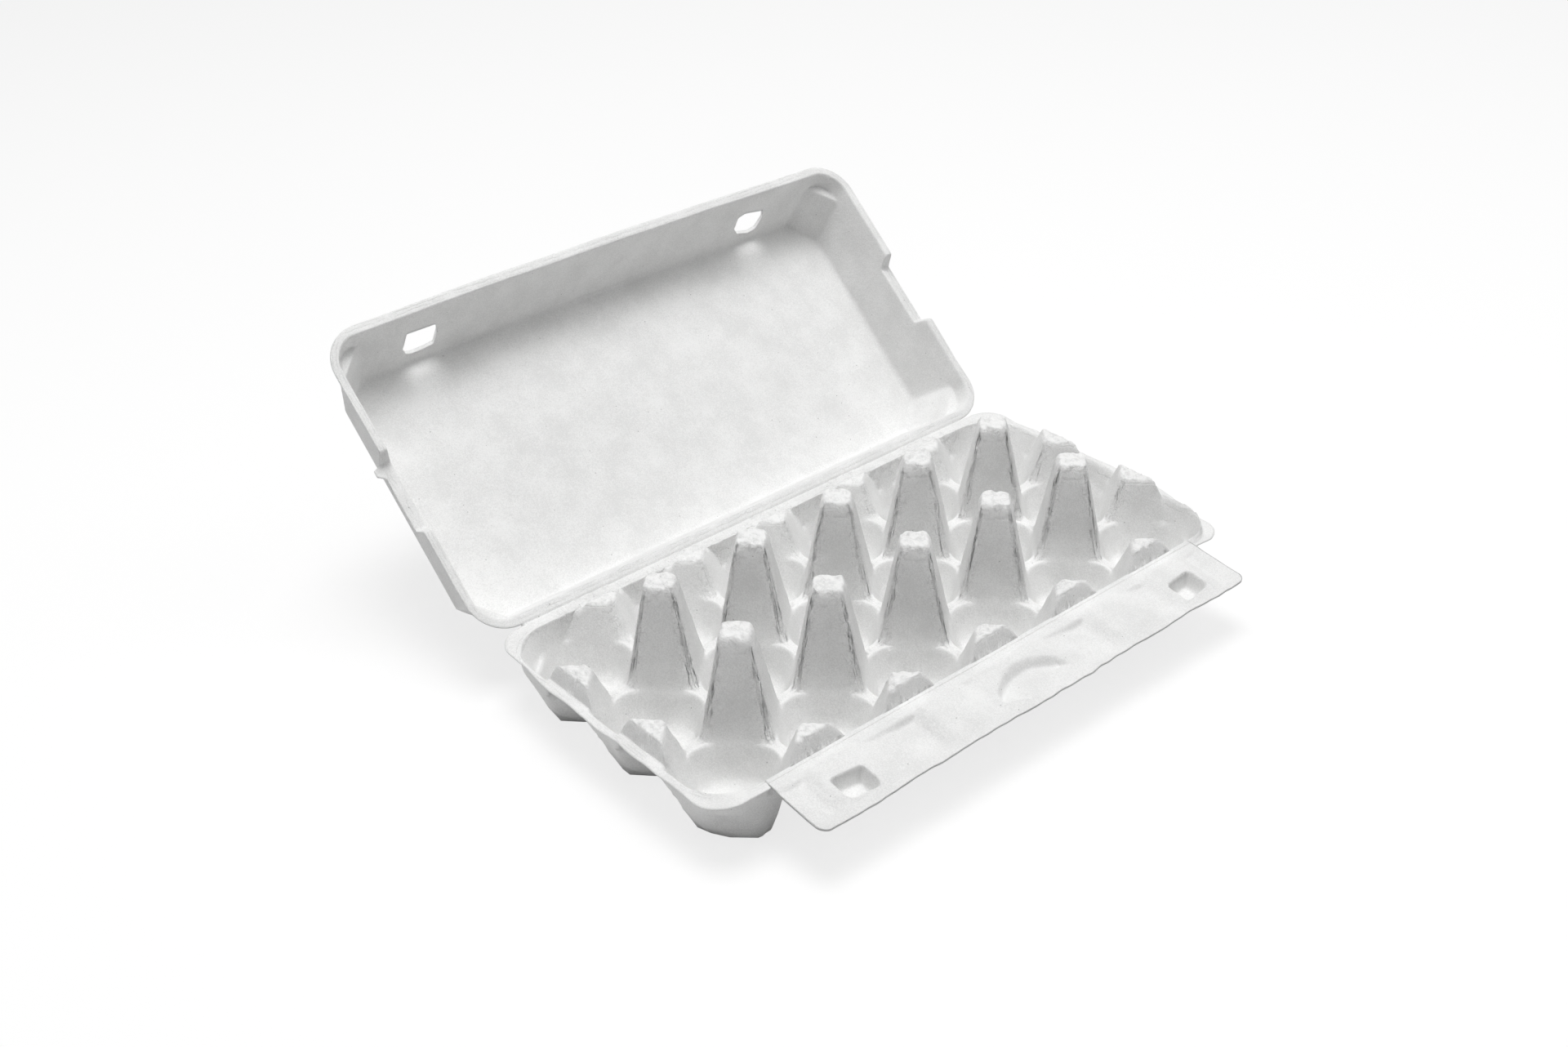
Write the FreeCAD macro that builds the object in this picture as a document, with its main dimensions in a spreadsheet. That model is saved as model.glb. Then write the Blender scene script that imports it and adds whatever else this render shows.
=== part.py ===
import FreeCAD, Part
import math
import os
import Sketcher

# An 18-egg carton moulded from paper pulp, open, standing on its cups.
# Three pieces of one moulding, divided only at its two folding hinges:
#   tray       the cups, posts, half-posts and rim
#   lid        a shallow box with two lock windows, hinged along the back rim
#   lock_flap  the front flap, whose two buttons go out through the lid's windows
# +X runs along the carton, +Y towards the lid's hinge, +Z up.
# The origin lies on the ground under the middle of the whole open carton.

SIZES = [
    # name, value in millimetres or degrees, what it is
    ("pitch", 47.0, "distance between neighbouring eggs"),
    ("columns", 6, "cups along the carton"),
    ("rows", 3, "cups across the carton"),
    ("wall", 2.0, "thickness of the pulp in a floor or flange"),
    ("side_skin", 1.6, "level distance between the two faces of a sloping wall"),
    ("cup_floor_reach", 13.8, "cup centre to the floor's edge, along X or Y"),
    ("cup_floor_slant", 12.5, "cup centre to the floor's edge, along a diagonal"),
    ("cup_knee_rise", 2.5, "height of the bevel round the cup's floor"),
    ("cup_knee_reach", 16.4, "cup centre to the top of the bevel, along X or Y"),
    ("cup_knee_slant", 15.0, "cup centre to the top of the bevel, along a diagonal"),
    ("saddle_height", 18.0, "top of the low ridge between two cups"),
    ("cup_top_reach", 20.9, "cup centre to the ridge, along X or Y"),
    ("cup_top_slant", 18.3, "cup centre to the posts at the ridge's height"),
    ("post_height", 61.0, "top of a post"),
    ("post_top_edge", 1.16, "half of the width of a post's blunted corner, at the top"),
    ("post_top_slant", 5.7, "post centre to its face, at the top"),
    ("post_foot_edge", 2.6, "half of the width of a post's blunted corner, at the ridge's height"),
    ("rim_height", 29.25, "top of the rim flange"),
    ("half_post_height", 36.5, "top of a half-post in the front and end walls"),
    ("half_post_top_edge", 1.05, "half of the width of a half-post's blunted corner, at the top"),
    ("half_post_top_slant", 7.1, "half-post centre to its face, at the top"),
    ("back_post_top_edge", 1.0, "half of the width of a back half-post's blunted corner, at the rim"),
    ("back_post_top_slant", 7.5, "back half-post centre to its face, at the rim"),
    ("end_flange", 3.0, "width of the rim flange at the two ends"),
    ("back_flange", 5.8, "width of the rim flange along the lid's hinge"),
    ("front_flange", 3.4, "width of the rim flange at the front corners"),
    ("end_lean_out", 1.5, "middle of the end half-posts out to the inside of the end wall, at the rim"),
    ("side_lean_in", 0.9, "middle of the front and back half-posts in to the inside of the wall, at the rim"),
    ("ridge_ledge", 0.5, "ledge round the outer cups at the ridge's height"),
    ("corner_slant", 24.8, "corner cup's centre to the corner wall, at the rim"),
    ("corner_radius", 13.0, "rounding of the rim's outer corners"),
    ("front_seat_inset", 1.4, "middle of the front half-posts in to their outer faces, at the rim"),
    ("end_seat_inset", 0.3, "middle of the end half-posts in to their outer faces, at the rim"),
    ("lock_lean", 15.0, "lean of the lid's front wall, the front half-posts and the folded flap"),
    ("end_lean", 13.0, "lean of the lid's end walls and the end half-posts"),
    ("clearance", 0.3, "gap left between pieces that pass each other"),
    ("lid_angle", 42.0, "slope of the open lid's rim"),
    ("hinge_gap", 0.3, "half of the gap at the fold"),
    ("lid_overhang", 2.6, "how much longer the lid is than the way from the fold to the front half-posts"),
    ("lid_flange", 4.0, "width of the lid's flange at the front and ends"),
    ("lid_back_flange", 6.0, "width of the lid's flange along the hinge"),
    ("lid_depth", 32.0, "inside depth of the lid"),
    ("lid_skin", 1.7, "thickness of the lid"),
    ("lid_back_lean", 13.0, "lean of the lid's wall along the hinge"),
    ("lid_corner_radius", 17.0, "rounding of the lid's outer corners"),
    ("column_leg", 12.5, "leg of the slanting column in each lid corner"),
    ("shelf_depth", 8.0, "rim to the shelf on top of each column"),
    ("window_depth", 20.0, "rim to the middle of a window"),
    ("window_half_width", 8.8, "half of a window's width"),
    ("window_half_height", 7.5, "half of a window's height"),
    ("window_corner", 3.0, "cut corner of a window"),
    ("notch_start", 52.5, "fold to the near end of a side notch"),
    ("notch_end", 91.0, "fold to the far end of a side notch"),
    ("notch_slope", 3.2, "length of the slope at each end of a notch"),
    ("notch_depth", 7.2, "depth of a side notch"),
    ("flap_end_inset", 21.3, "middle of the end half-posts in to the end of the flap"),
    ("flap_reach", 32.3, "flap's hinge axis to its outer edge"),
    ("flap_skin", 1.3, "thickness of the flap"),
    ("flap_root", 0.3, "flap's hinge axis to the flap's inner edge"),
    ("flap_axis_rise", 0.15, "height of the flap's hinge axis over its upper face"),
    ("flap_droop", 7.0, "how far the open flap hangs below level"),
    ("flap_corner_radius", 4.5, "rounding of the flap's outer corners"),
    ("flap_root_radius", 1.0, "rounding of the flap's inner corners"),
    ("flap_seat_drop", 2.15, "rim to the top of the front wall under the flap"),
    ("button_place", 20.8, "flap's hinge axis to the middle of a button"),
    ("button_half_width", 7.9, "half of a button's hollow along the flap, at its mouth"),
    ("button_half_height", 6.1, "half of a button's hollow across the flap, at its mouth"),
    ("button_depth", 8.0, "depth of a button's hollow"),
    ("button_taper", 2.3, "how far a button narrows on each side"),
    ("button_skin", 1.0, "thickness of a button's sides"),
    ("frame_half_width", 11.0, "half of the width of the raised pad round a button"),
    ("pad_half_width", 9.0, "half of a plain raised pad's width"),
    ("pad_start", 9.6, "flap's hinge axis to the near edge of the raised pads"),
    ("pad_end", 29.0, "flap's hinge axis to the far edge of the raised pads"),
    ("pad_rise", 1.5, "height of the raised pads"),
    ("pad_slope", 1.6, "width of the slope round a raised pad"),
    ("thumb_half_width", 16.0, "half of the thumb pad's width"),
    ("scoop_half_width", 13.0, "half of the thumb scoop's width"),
    ("scoop_start", 12.4, "flap's hinge axis to the near edge of the thumb scoop"),
    ("scoop_end", 18.4, "flap's hinge axis to the far edge of the thumb scoop"),
]

doc = FreeCAD.newDocument("egg_carton")
sheet = doc.addObject("Spreadsheet::Sheet", "Sizes")
for row, (alias, value, meaning) in enumerate(SIZES, start=1):
    sheet.set(f"A{row}", meaning)
    sheet.set(f"B{row}", str(value))
    sheet.setAlias(f"B{row}", alias)
doc.recompute()


def size(expression):
    """Expression in which each alias of the sheet is written out for setExpression."""
    words = {alias for alias, _, _ in SIZES}
    text = ""
    word = ""
    for letter in expression + " ":
        if letter.isalnum() or letter == "_":
            word += letter
            continue
        text += f"Sizes.{word}" if word in words else word
        text += letter
        word = ""
    return text.strip()


def number(expression):
    """Present value of an expression."""
    result = sheet.evalExpression(size(expression))
    return float(getattr(result, "Value", result))


def origin_part(body, role):
    """One of the body's own origin planes or axes."""
    return next(item for item in body.Origin.OriginFeatures if item.Role == role)


def new_body(name):
    return doc.addObject("PartDesign::Body", name)


def new_sketch(body, name, level="0", role="XY_Plane"):
    """Sketch parallel to an origin plane of the body, a level away from it."""
    sketch = body.newObject("Sketcher::SketchObject", name)
    sketch.AttachmentSupport = (origin_part(body, role), [""])
    sketch.MapMode = "FlatFace"
    sketch.setExpression("AttachmentOffset.Base.z", size(level))
    return sketch


def hold(sketch, kind, *where, to):
    """Constraint of a sketch whose value is bound to an expression."""
    index = sketch.addConstraint(Sketcher.Constraint(kind, *where, number(to)))
    sketch.setExpression(f"Constraints[{index}]", size(to))


def draw_polygon(sketch, corners):
    """Closed outline with straight sides through corners given as expressions."""
    points = [FreeCAD.Vector(number(x), number(y), 0) for x, y in corners]
    for index, point in enumerate(points):
        sketch.addGeometry(Part.LineSegment(point, points[(index + 1) % len(points)]))
    for index, (x, y) in enumerate(corners):
        following = (index + 1) % len(points)
        sketch.addConstraint(Sketcher.Constraint("Coincident", index, 2, following, 1))
        hold(sketch, "DistanceX", index, 1, to=x)
        hold(sketch, "DistanceY", index, 1, to=y)


def draw_rounded(sketch, left, right, front, back, radii):
    """Rectangle with rounded corners: radii of front left, front right, back right, back left."""
    quarter = math.pi / 2
    sides = [(left, front), (right, front), (right, back), (left, back)]
    inward = [("+", "+"), ("-", "+"), ("-", "-"), ("+", "-")]
    centres = [
        (f"({x}){sx}({radius})", f"({y}){sy}({radius})")
        for (x, y), (sx, sy), radius in zip(sides, inward, radii)
    ]
    for index, ((x, y), radius) in enumerate(zip(centres, radii)):
        middle = FreeCAD.Vector(number(x), number(y), 0)
        circle = Part.Circle(middle, FreeCAD.Vector(0, 0, 1), number(radius))
        sketch.addGeometry(Part.ArcOfCircle(circle, (index + 2) * quarter, (index + 3) * quarter))
    for index in range(4):
        following = (index + 1) % 4
        start = sketch.getPoint(index, 2)
        end = sketch.getPoint(following, 1)
        sketch.addGeometry(Part.LineSegment(start, end))
    for index, ((x, y), radius) in enumerate(zip(centres, radii)):
        following = (index + 1) % 4
        side = 4 + index
        level, upright = ("Horizontal", "Vertical") if index % 2 == 0 else ("Vertical", "Horizontal")
        sketch.addConstraint(Sketcher.Constraint("Coincident", index, 2, side, 1))
        sketch.addConstraint(Sketcher.Constraint("Coincident", side, 2, following, 1))
        sketch.addConstraint(Sketcher.Constraint(level, index, 1, index, 3))
        sketch.addConstraint(Sketcher.Constraint(upright, index, 2, index, 3))
        hold(sketch, "DistanceX", index, 3, to=x)
        hold(sketch, "DistanceY", index, 3, to=y)
        hold(sketch, "Radius", index, to=radius)


def octagon(centre_x, centre_y, reach, slant):
    """Corners of an eight-sided outline: reach along X and Y, slant along the diagonals."""
    near = f"(({slant}) * sqrt(2) - ({reach}))"
    far = f"({reach})"
    turns = [
        ("+", far, "-", near), ("+", far, "+", near), ("+", near, "+", far), ("-", near, "+", far),
        ("-", far, "+", near), ("-", far, "-", near), ("-", near, "-", far), ("+", near, "-", far),
    ]
    return [(f"({centre_x}){sx}{x}", f"({centre_y}){sy}{y}") for sx, x, sy, y in turns]


def cut_rectangle(left, right, front, back, leg):
    """Corners of a rectangle whose four corners are cut off at 45 degrees."""
    return [
        (left, f"({back})-({leg})"), (left, f"({front})+({leg})"),
        (f"({left})+({leg})", front), (f"({right})-({leg})", front),
        (right, f"({front})+({leg})"), (right, f"({back})-({leg})"),
        (f"({right})-({leg})", back), (f"({left})+({leg})", back),
    ]


def extrude(body, kind, name, sketch, length, reverse=False, symmetric=False):
    """Pad or Pocket of a sketch."""
    feature = body.newObject(f"PartDesign::{kind}", name)
    feature.Profile = sketch
    feature.Reversed = reverse
    feature.SideType = "Symmetric" if symmetric else "One side"
    feature.setExpression("Length", size(length))
    feature.Refine = False
    body.Tip = feature
    return feature


def loft(body, kind, name, outlines):
    """Additive or Subtractive loft with flat sides through outlines given as (level, corners)."""
    sketches = []
    for index, (level, corners) in enumerate(outlines):
        sketch = new_sketch(body, f"{name}_outline_{index}", level)
        draw_polygon(sketch, corners)
        sketches.append(sketch)
    return loft_through(body, kind, name, sketches)


def loft_through(body, kind, name, sketches):
    feature = body.newObject(f"PartDesign::{kind}Loft", name)
    feature.Profile = sketches[0]
    feature.Sections = sketches[1:]
    feature.Ruled = True
    feature.Refine = False
    body.Tip = feature
    return feature


# ---------------------------------------------------------------- tray

FIRST_X = "(-(columns - 1) / 2 * pitch)"
FIRST_Y = "(-(rows - 1) / 2 * pitch)"
WALL_X = "(columns / 2 * pitch)"
WALL_Y = "(rows / 2 * pitch)"
BETWEEN = "(pitch * sqrt(2) / 2)"
FOOT_SLANT = f"({BETWEEN} - cup_top_slant)"
END_OPENING = f"({WALL_X} + end_lean_out)"
SIDE_OPENING = f"({WALL_Y} - side_lean_in)"
END_RIM = f"({END_OPENING} + end_flange)"
FRONT_RIM = f"({SIDE_OPENING} + front_flange)"
BACK_RIM = f"({SIDE_OPENING} + back_flange)"
FRONT_SEAT = f"({WALL_Y} - front_seat_inset)"
END_SEAT = f"({WALL_X} - end_seat_inset)"

# The fold, the lid and the flap take their places from the rim and from the half-posts.
HINGE_LINE = f"({BACK_RIM} + hinge_gap)"
LID_HALF = f"({END_RIM} - clearance)"
LID_REACH = f"({HINGE_LINE} + {FRONT_SEAT} + lid_overhang)"
FLAP_HALF = f"({WALL_X} - flap_end_inset)"
LOCK_PLACE = "((columns / 2 - 1) * pitch)"
PAD_PLACE = "((columns / 2 - 2) * pitch)"

# How far the open lid and the open flap reach from the middle of the tray, and half the difference.
LID_FRONT = f"({LID_REACH} - lid_flange - lid_depth * tan(lock_lean) + lid_skin)"
LID_FAR = f"({HINGE_LINE} + {LID_FRONT} * cos(lid_angle) + (lid_depth + lid_skin) * sin(lid_angle))"
FLAP_FAR = f"({FRONT_SEAT} + flap_axis_rise * (1 - sin(flap_droop)) + flap_reach * cos(flap_droop))"
MIDDLE = f"(({LID_FAR} - {FLAP_FAR}) / 2)"


def corner_leg(reach_x, reach_y, slant):
    """Leg of the cut corner that lies a slant away from the corner cup's centre."""
    return f"(({reach_x} + {FIRST_X}) + ({reach_y} + {FIRST_Y}) - ({slant}) * sqrt(2))"


def unit(name, outlines):
    """Body of one repeated form: a loft with flat sides, where the form's first copy stands."""
    body = new_body(name)
    loft(body, "Additive", f"{name}_loft", outlines)
    return body


def tray_units(face, skin, drop):
    """The forms under one face of the tray: the upper face, or the lower one a skin and a drop away."""
    top = f"(rim_height - {drop})"
    ridge = f"(saddle_height - {drop})"

    block = new_body(f"{face}_block")
    outline = new_sketch(block, f"{face}_outline")
    ends = f"({END_RIM} + {skin})"
    radii = [f"corner_radius + {skin}"] * 4
    draw_rounded(outline, f"-{ends}", ends, f"-({FRONT_RIM} + {skin})", f"{BACK_RIM} + {skin}", radii)
    extrude(block, "Pad", f"{face}_block_pad", outline, top)

    ridge_x = f"(-{FIRST_X} + cup_top_reach + ridge_ledge + {skin})"
    ridge_y = f"(-{FIRST_Y} + cup_top_reach + ridge_ledge + {skin})"
    rim_x = f"({END_OPENING} + {skin})"
    rim_y = f"({SIDE_OPENING} + {skin})"
    ridge_leg = corner_leg(ridge_x, ridge_y, f"cup_top_slant + ridge_ledge + {skin}")
    rim_leg = corner_leg(rim_x, rim_y, f"corner_slant + {skin}")
    well = unit(f"{face}_well", [
        (ridge, cut_rectangle(f"-{ridge_x}", ridge_x, f"-{ridge_y}", ridge_y, ridge_leg)),
        (top, cut_rectangle(f"-{rim_x}", rim_x, f"-{rim_y}", rim_y, rim_leg)),
    ])

    def cup_outline(reach, slant):
        return octagon(FIRST_X, FIRST_Y, f"{reach} + {skin}", f"{slant} + {skin}")

    cup = unit(f"{face}_cup", [
        (f"wall - {drop}", cup_outline("cup_floor_reach", "cup_floor_slant")),
        (f"wall + cup_knee_rise - {drop}", cup_outline("cup_knee_reach", "cup_knee_slant")),
        (ridge, cup_outline("cup_top_reach", "cup_top_slant")),
    ])

    def post_outline(centre, slant, edge):
        return octagon(*centre, f"({slant}) * sqrt(2) - {edge} - {skin}", f"{slant} - {skin}")

    def post(label, centre, height, slant, edge):
        foot = post_outline(centre, FOOT_SLANT, "post_foot_edge")
        head = post_outline(centre, slant, edge)
        return unit(f"{face}_{label}", [(ridge, foot), (f"{height} - {drop}", head)])

    inner_x = f"{FIRST_X} + pitch / 2"
    inner_y = f"{FIRST_Y} + pitch / 2"
    half_top = ("half_post_height", "half_post_top_slant", "half_post_top_edge")
    back_top = ("rim_height", "back_post_top_slant", "back_post_top_edge")

    def seat(level):
        rise = f"({level} - rim_height)"
        x = f"({END_SEAT} - {skin} - {rise} * tan(end_lean))"
        y = f"({FRONT_SEAT} - {skin} - {rise} * tan(lock_lean))"
        return level, cut_rectangle(f"-{x}", x, f"-{y}", y, "corner_radius")

    return {
        "block": block,
        "well": well,
        "cup": cup,
        "post": post("post", (inner_x, inner_y), "post_height", "post_top_slant", "post_top_edge"),
        "front_post": post("front_post", (inner_x, f"-{WALL_Y}"), *half_top),
        "back_post": post("back_post", (inner_x, WALL_Y), *back_top),
        "end_post": post("end_post", (f"-{WALL_X}", inner_y), *half_top),
        "seat": unit(f"{face}_seat", [seat(top), seat("post_height")]),
    }


def flat_sided(body):
    """The body's solid with each side rebuilt as a plane through the side's corners."""
    faces = []
    for face in body.Shape.Faces:
        corners = [edge.firstVertex(True).Point for edge in face.OuterWire.OrderedEdges]
        faces.append(Part.Face(Part.makePolygon(corners + corners[:1])))
    return Part.makeSolid(Part.makeShell(faces))


def copies(shape, along_x, step_x, along_y, step_y):
    """A shape repeated along X and Y."""
    places = [(x * step_x, y * step_y) for x in range(along_x) for y in range(along_y)]
    return [shape.translated(FreeCAD.Vector(x, y, 0)) for x, y in places]


def tray_form(units):
    """Solid under one face of the tray, from its units."""
    step = number("pitch")
    columns = int(number("columns"))
    rows = int(number("rows"))
    block = units["block"].Shape
    forms = {name: flat_sided(body) for name, body in units.items() if name != "block"}
    cups = copies(forms["cup"], columns, step, rows, step)
    posts = copies(forms["post"], columns - 1, step, rows - 1, step)
    half_posts = copies(forms["front_post"], columns - 1, step, 1, 0)
    half_posts += copies(forms["back_post"], columns - 1, step, 1, 0)
    half_posts += copies(forms["end_post"], 2, columns * step, rows - 1, step)
    hollow = block.cut([forms["well"]] + cups)
    reach = block.fuse(forms["seat"])
    trimmed = [half_post.common(reach) for half_post in half_posts]
    return hollow.fuse(posts + trimmed)


def make_tray():
    """The tray: the solid under its upper face, less the solid under its lower face.

    The cups and posts are repeated as plain shapes of their unit bodies, because one body
    that carries all of them on both faces takes minutes to rebuild.
    """
    upper = tray_units("upper", "0", "0")
    lower = tray_units("lower", "side_skin", "wall")
    room = new_body("flap_room")
    outline = new_sketch(room, "flap_room_outline", "rim_height - flap_seat_drop")
    ends = f"({FLAP_HALF} + clearance)"
    front = f"-({FRONT_RIM} + wall)"
    back = f"-{FRONT_SEAT}"
    draw_polygon(outline, [(f"-{ends}", front), (ends, front), (ends, back), (f"-{ends}", back)])
    extrude(room, "Pad", "flap_room_pad", outline, "half_post_height")
    doc.recompute()
    tray = doc.addObject("Part::Feature", "tray")
    tray.Shape = tray_form(upper).cut([room.Shape, tray_form(lower)])
    tray.setExpression("Placement.Base.y", size(f"-{MIDDLE}"))
    return tray


# ---------------------------------------------------------------- lid

def lid_outline(body, name, depth, skin, cut):
    """Outline of the lid's hollow at a depth under its rim, grown by a skin."""
    right = f"({LID_HALF} - lid_flange - ({depth}) * tan(end_lean) + {skin})"
    back = f"(lid_back_flange + ({depth}) * tan(lid_back_lean) - {skin})"
    front = f"({LID_REACH} - lid_flange - ({depth}) * tan(lock_lean) + {skin})"
    level = f"-({depth})"
    if skin != "0" and cut == "floor":
        level = f"-({depth}) - {skin}"
    sketch = new_sketch(body, name, level)
    if cut == "round":
        radius = f"(lid_corner_radius - lid_flange + {skin})"
        draw_rounded(sketch, f"-{right}", right, back, front, [radius] * 4)
    else:
        draw_polygon(sketch, cut_rectangle(f"-{right}", right, back, front, "column_leg"))
    return sketch


def lid_form(body, kind, name, skin):
    """Rounded upper part and lower part with a column in each corner."""
    below_shelf = f"shelf_depth + {skin}"
    loft_through(body, kind, f"{name}_rim_part", [
        lid_outline(body, f"{name}_rim_outline", "0", skin, "round"),
        lid_outline(body, f"{name}_shelf_outline", below_shelf, skin, "round"),
    ])
    loft_through(body, kind, f"{name}_deep_part", [
        lid_outline(body, f"{name}_column_outline", "shelf_depth", skin, "column"),
        lid_outline(body, f"{name}_floor_outline", "lid_depth", skin, "floor"),
    ])


def notch_profile(body, name, skin):
    """Side view of the notches in the lid's end walls, grown by a skin."""
    sketch = new_sketch(body, name, role="YZ_Plane")
    deep = f"-(notch_depth + {skin})"
    high = "lid_skin"
    draw_polygon(sketch, [
        (f"notch_start - {skin}", "0"), (f"notch_start + notch_slope - {skin}", deep),
        (f"notch_end - notch_slope + {skin}", deep), (f"notch_end + {skin}", "0"),
    ] if skin != "0" else [
        ("notch_start", "0"), ("notch_start + notch_slope", deep),
        ("notch_end - notch_slope", deep), ("notch_end", "0"), ("notch_end", high), ("notch_start", high),
    ])
    return sketch


def make_lid():
    """The lid in its own frame: rim in the XY plane, hollow side up, fold along the X axis."""
    lid = new_body("lid")
    flange = new_sketch(lid, "lid_flange_outline")
    radii = ["lid_corner_radius"] * 4
    draw_rounded(flange, f"-{LID_HALF}", LID_HALF, "hinge_gap", LID_REACH, radii)
    extrude(lid, "Pad", "lid_flange_plate", flange, "lid_skin", reverse=True)
    lid_form(lid, "Additive", "lid_outside", "lid_skin")
    step = notch_profile(lid, "notch_lining_profile", "lid_skin")
    extrude(lid, "Pad", "notch_lining", step, f"2 * {LID_HALF}", symmetric=True)
    lid_form(lid, "Subtractive", "lid_inside", "0")
    notch = notch_profile(lid, "notch_profile", "0")
    extrude(lid, "Pocket", "notch", notch, f"2 * {LID_HALF} + wall", symmetric=True)

    wall_place = f"({LID_REACH} - lid_flange - window_depth * tan(lock_lean))"
    for side, sign in (("left", "-"), ("right", "")):
        sketch = new_sketch(lid, f"window_{side}_outline", f"-{wall_place}", role="XZ_Plane")
        middle = f"{sign}{LOCK_PLACE}"
        draw_polygon(sketch, cut_rectangle(
            f"{middle} - window_half_width", f"{middle} + window_half_width",
            "-window_depth - window_half_height", "-window_depth + window_half_height", "window_corner",
        ))
        extrude(lid, "Pocket", f"window_{side}", sketch, "pitch / 2", symmetric=True)
    lid.setExpression("Placement.Base.y", size(f"{HINGE_LINE} - {MIDDLE}"))
    lid.setExpression("Placement.Base.z", size("rim_height"))
    lid.Placement.Rotation = FreeCAD.Rotation(FreeCAD.Vector(1, 0, 0), number("lid_angle"))
    lid.setExpression("Placement.Rotation.Angle", size("lid_angle"))
    return lid


# ---------------------------------------------------------------- lock flap

UPPER = "(-flap_axis_rise)"
LOWER = "(-flap_axis_rise - flap_skin)"
RAISED = "(-flap_axis_rise + pad_rise)"


def flap_box(middle, half_width, near, far, shrink="0"):
    """Outline on the flap between two distances from its hinge axis, less a shrink all round."""
    return cut_rectangle(
        f"{middle} - {half_width} + {shrink}", f"{middle} + {half_width} - {shrink}",
        f"-({far}) + {shrink}", f"-({near}) - {shrink}", "pad_slope",
    )


def raised_pad(flap, name, middle, half_width):
    """Pad pressed up out of the flap, hollow underneath."""
    def outlines(level, inset):
        foot = flap_box(middle, half_width, "pad_start", "pad_end", inset)
        head = flap_box(middle, half_width, "pad_start", "pad_end", f"pad_slope + {inset}")
        return [(level, foot), (f"{level} + pad_rise", head)]

    loft(flap, "Additive", f"{name}_pad", outlines(UPPER, "0"))
    loft(flap, "Subtractive", f"{name}_hollow", outlines(LOWER, "flap_skin"))


def thumb_scoop(flap):
    """Hollow pressed down into the thumb pad, to the level of the flap."""
    def outline(name, level, grow):
        sketch = new_sketch(flap, name, level)
        half_width = f"(scoop_half_width + {grow})"
        draw_polygon(sketch, flap_box("0", half_width, f"scoop_start - {grow}", f"scoop_end + {grow}"))
        return sketch

    lining = outline("scoop_lining_outline", LOWER, "flap_skin")
    extrude(flap, "Pad", "scoop_lining", lining, "flap_skin + pad_rise")
    hollow = outline("scoop_outline", UPPER, "0")
    extrude(flap, "Pocket", "scoop", hollow, "pad_rise", reverse=True)


def lock_button(flap, name, middle):
    """Cup pressed down out of its raised pad, which goes out through a window of the lid."""
    def outline(grow):
        width = f"(button_half_width + {grow})"
        height = f"(button_half_height + {grow})"
        return flap_box(middle, width, f"button_place - {height}", f"button_place + {height}")

    floor = f"({RAISED} - button_depth)"
    loft(flap, "Additive", f"{name}_boss", [
        (RAISED, outline("button_skin")), (f"{floor} - flap_skin", outline("button_skin - button_taper")),
    ])
    loft(flap, "Subtractive", f"{name}_pocket", [(RAISED, outline("0")), (floor, outline("-button_taper"))])


def make_flap():
    """The flap in its own frame: hinge axis along the X axis, outer edge towards -Y."""
    flap = new_body("lock_flap")
    panel = new_sketch(flap, "flap_outline", LOWER)
    radii = ["flap_corner_radius"] * 2 + ["flap_root_radius"] * 2
    draw_rounded(panel, f"-{FLAP_HALF}", FLAP_HALF, "-flap_reach", "-flap_root", radii)
    extrude(flap, "Pad", "flap_panel", panel, "flap_skin")
    raised_pad(flap, "left", f"-{PAD_PLACE}", "pad_half_width")
    raised_pad(flap, "right", PAD_PLACE, "pad_half_width")
    raised_pad(flap, "thumb", "0", "thumb_half_width")
    thumb_scoop(flap)
    for name, middle in (("left_button", f"-{LOCK_PLACE}"), ("right_button", LOCK_PLACE)):
        raised_pad(flap, name, middle, "frame_half_width")
        lock_button(flap, name, middle)
    flap.setExpression("Placement.Base.y", size(f"-({FRONT_SEAT} + flap_axis_rise) - {MIDDLE}"))
    flap.setExpression("Placement.Base.z", size("rim_height + flap_axis_rise"))
    flap.Placement.Rotation = FreeCAD.Rotation(FreeCAD.Vector(1, 0, 0), number("flap_droop"))
    flap.setExpression("Placement.Rotation.Angle", size("flap_droop"))
    return flap


# ---------------------------------------------------------------- build, check and write

nodes = [make_tray(), make_lid(), make_flap()]
doc.recompute()

for item in doc.Objects:
    if "Invalid" in item.State or "Error" in item.State:
        raise RuntimeError(f"{item.Name} did not build: {item.State}")

os.makedirs("parts", exist_ok=True)
for node in nodes:
    if node.Shape.isNull() or not node.Shape.isValid():
        raise RuntimeError(f"{node.Label} has no valid shape")
    node.Shape.exportStep(f"parts/{node.Label}.step")
    print(node.Label, "solids", len(node.Shape.Solids), "volume", round(node.Shape.Volume))
    print(node.Shape.BoundBox)
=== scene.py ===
# %% [markdown]
# # An 18-egg carton of moulded pulp
#
# The carton is one moulding of white paper pulp: a tray of eighteen cups with ten posts between
# them, a shallow lid, and a lock flap along the front. The CAD part gives the three bodies, their
# hinges and their sizes. Here each body gets the skin that is seen: soft edges, crinkled corners,
# a fibrous surface and the two folds that join the bodies into one sheet.
#
# Everything below works in millimetres in each body's own frame, and turns into metres in the
# carton's frame when a mesh is written.

# %% Load the frame
import math

import bpy
import numpy as np
from mathutils import Matrix, Vector


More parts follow.
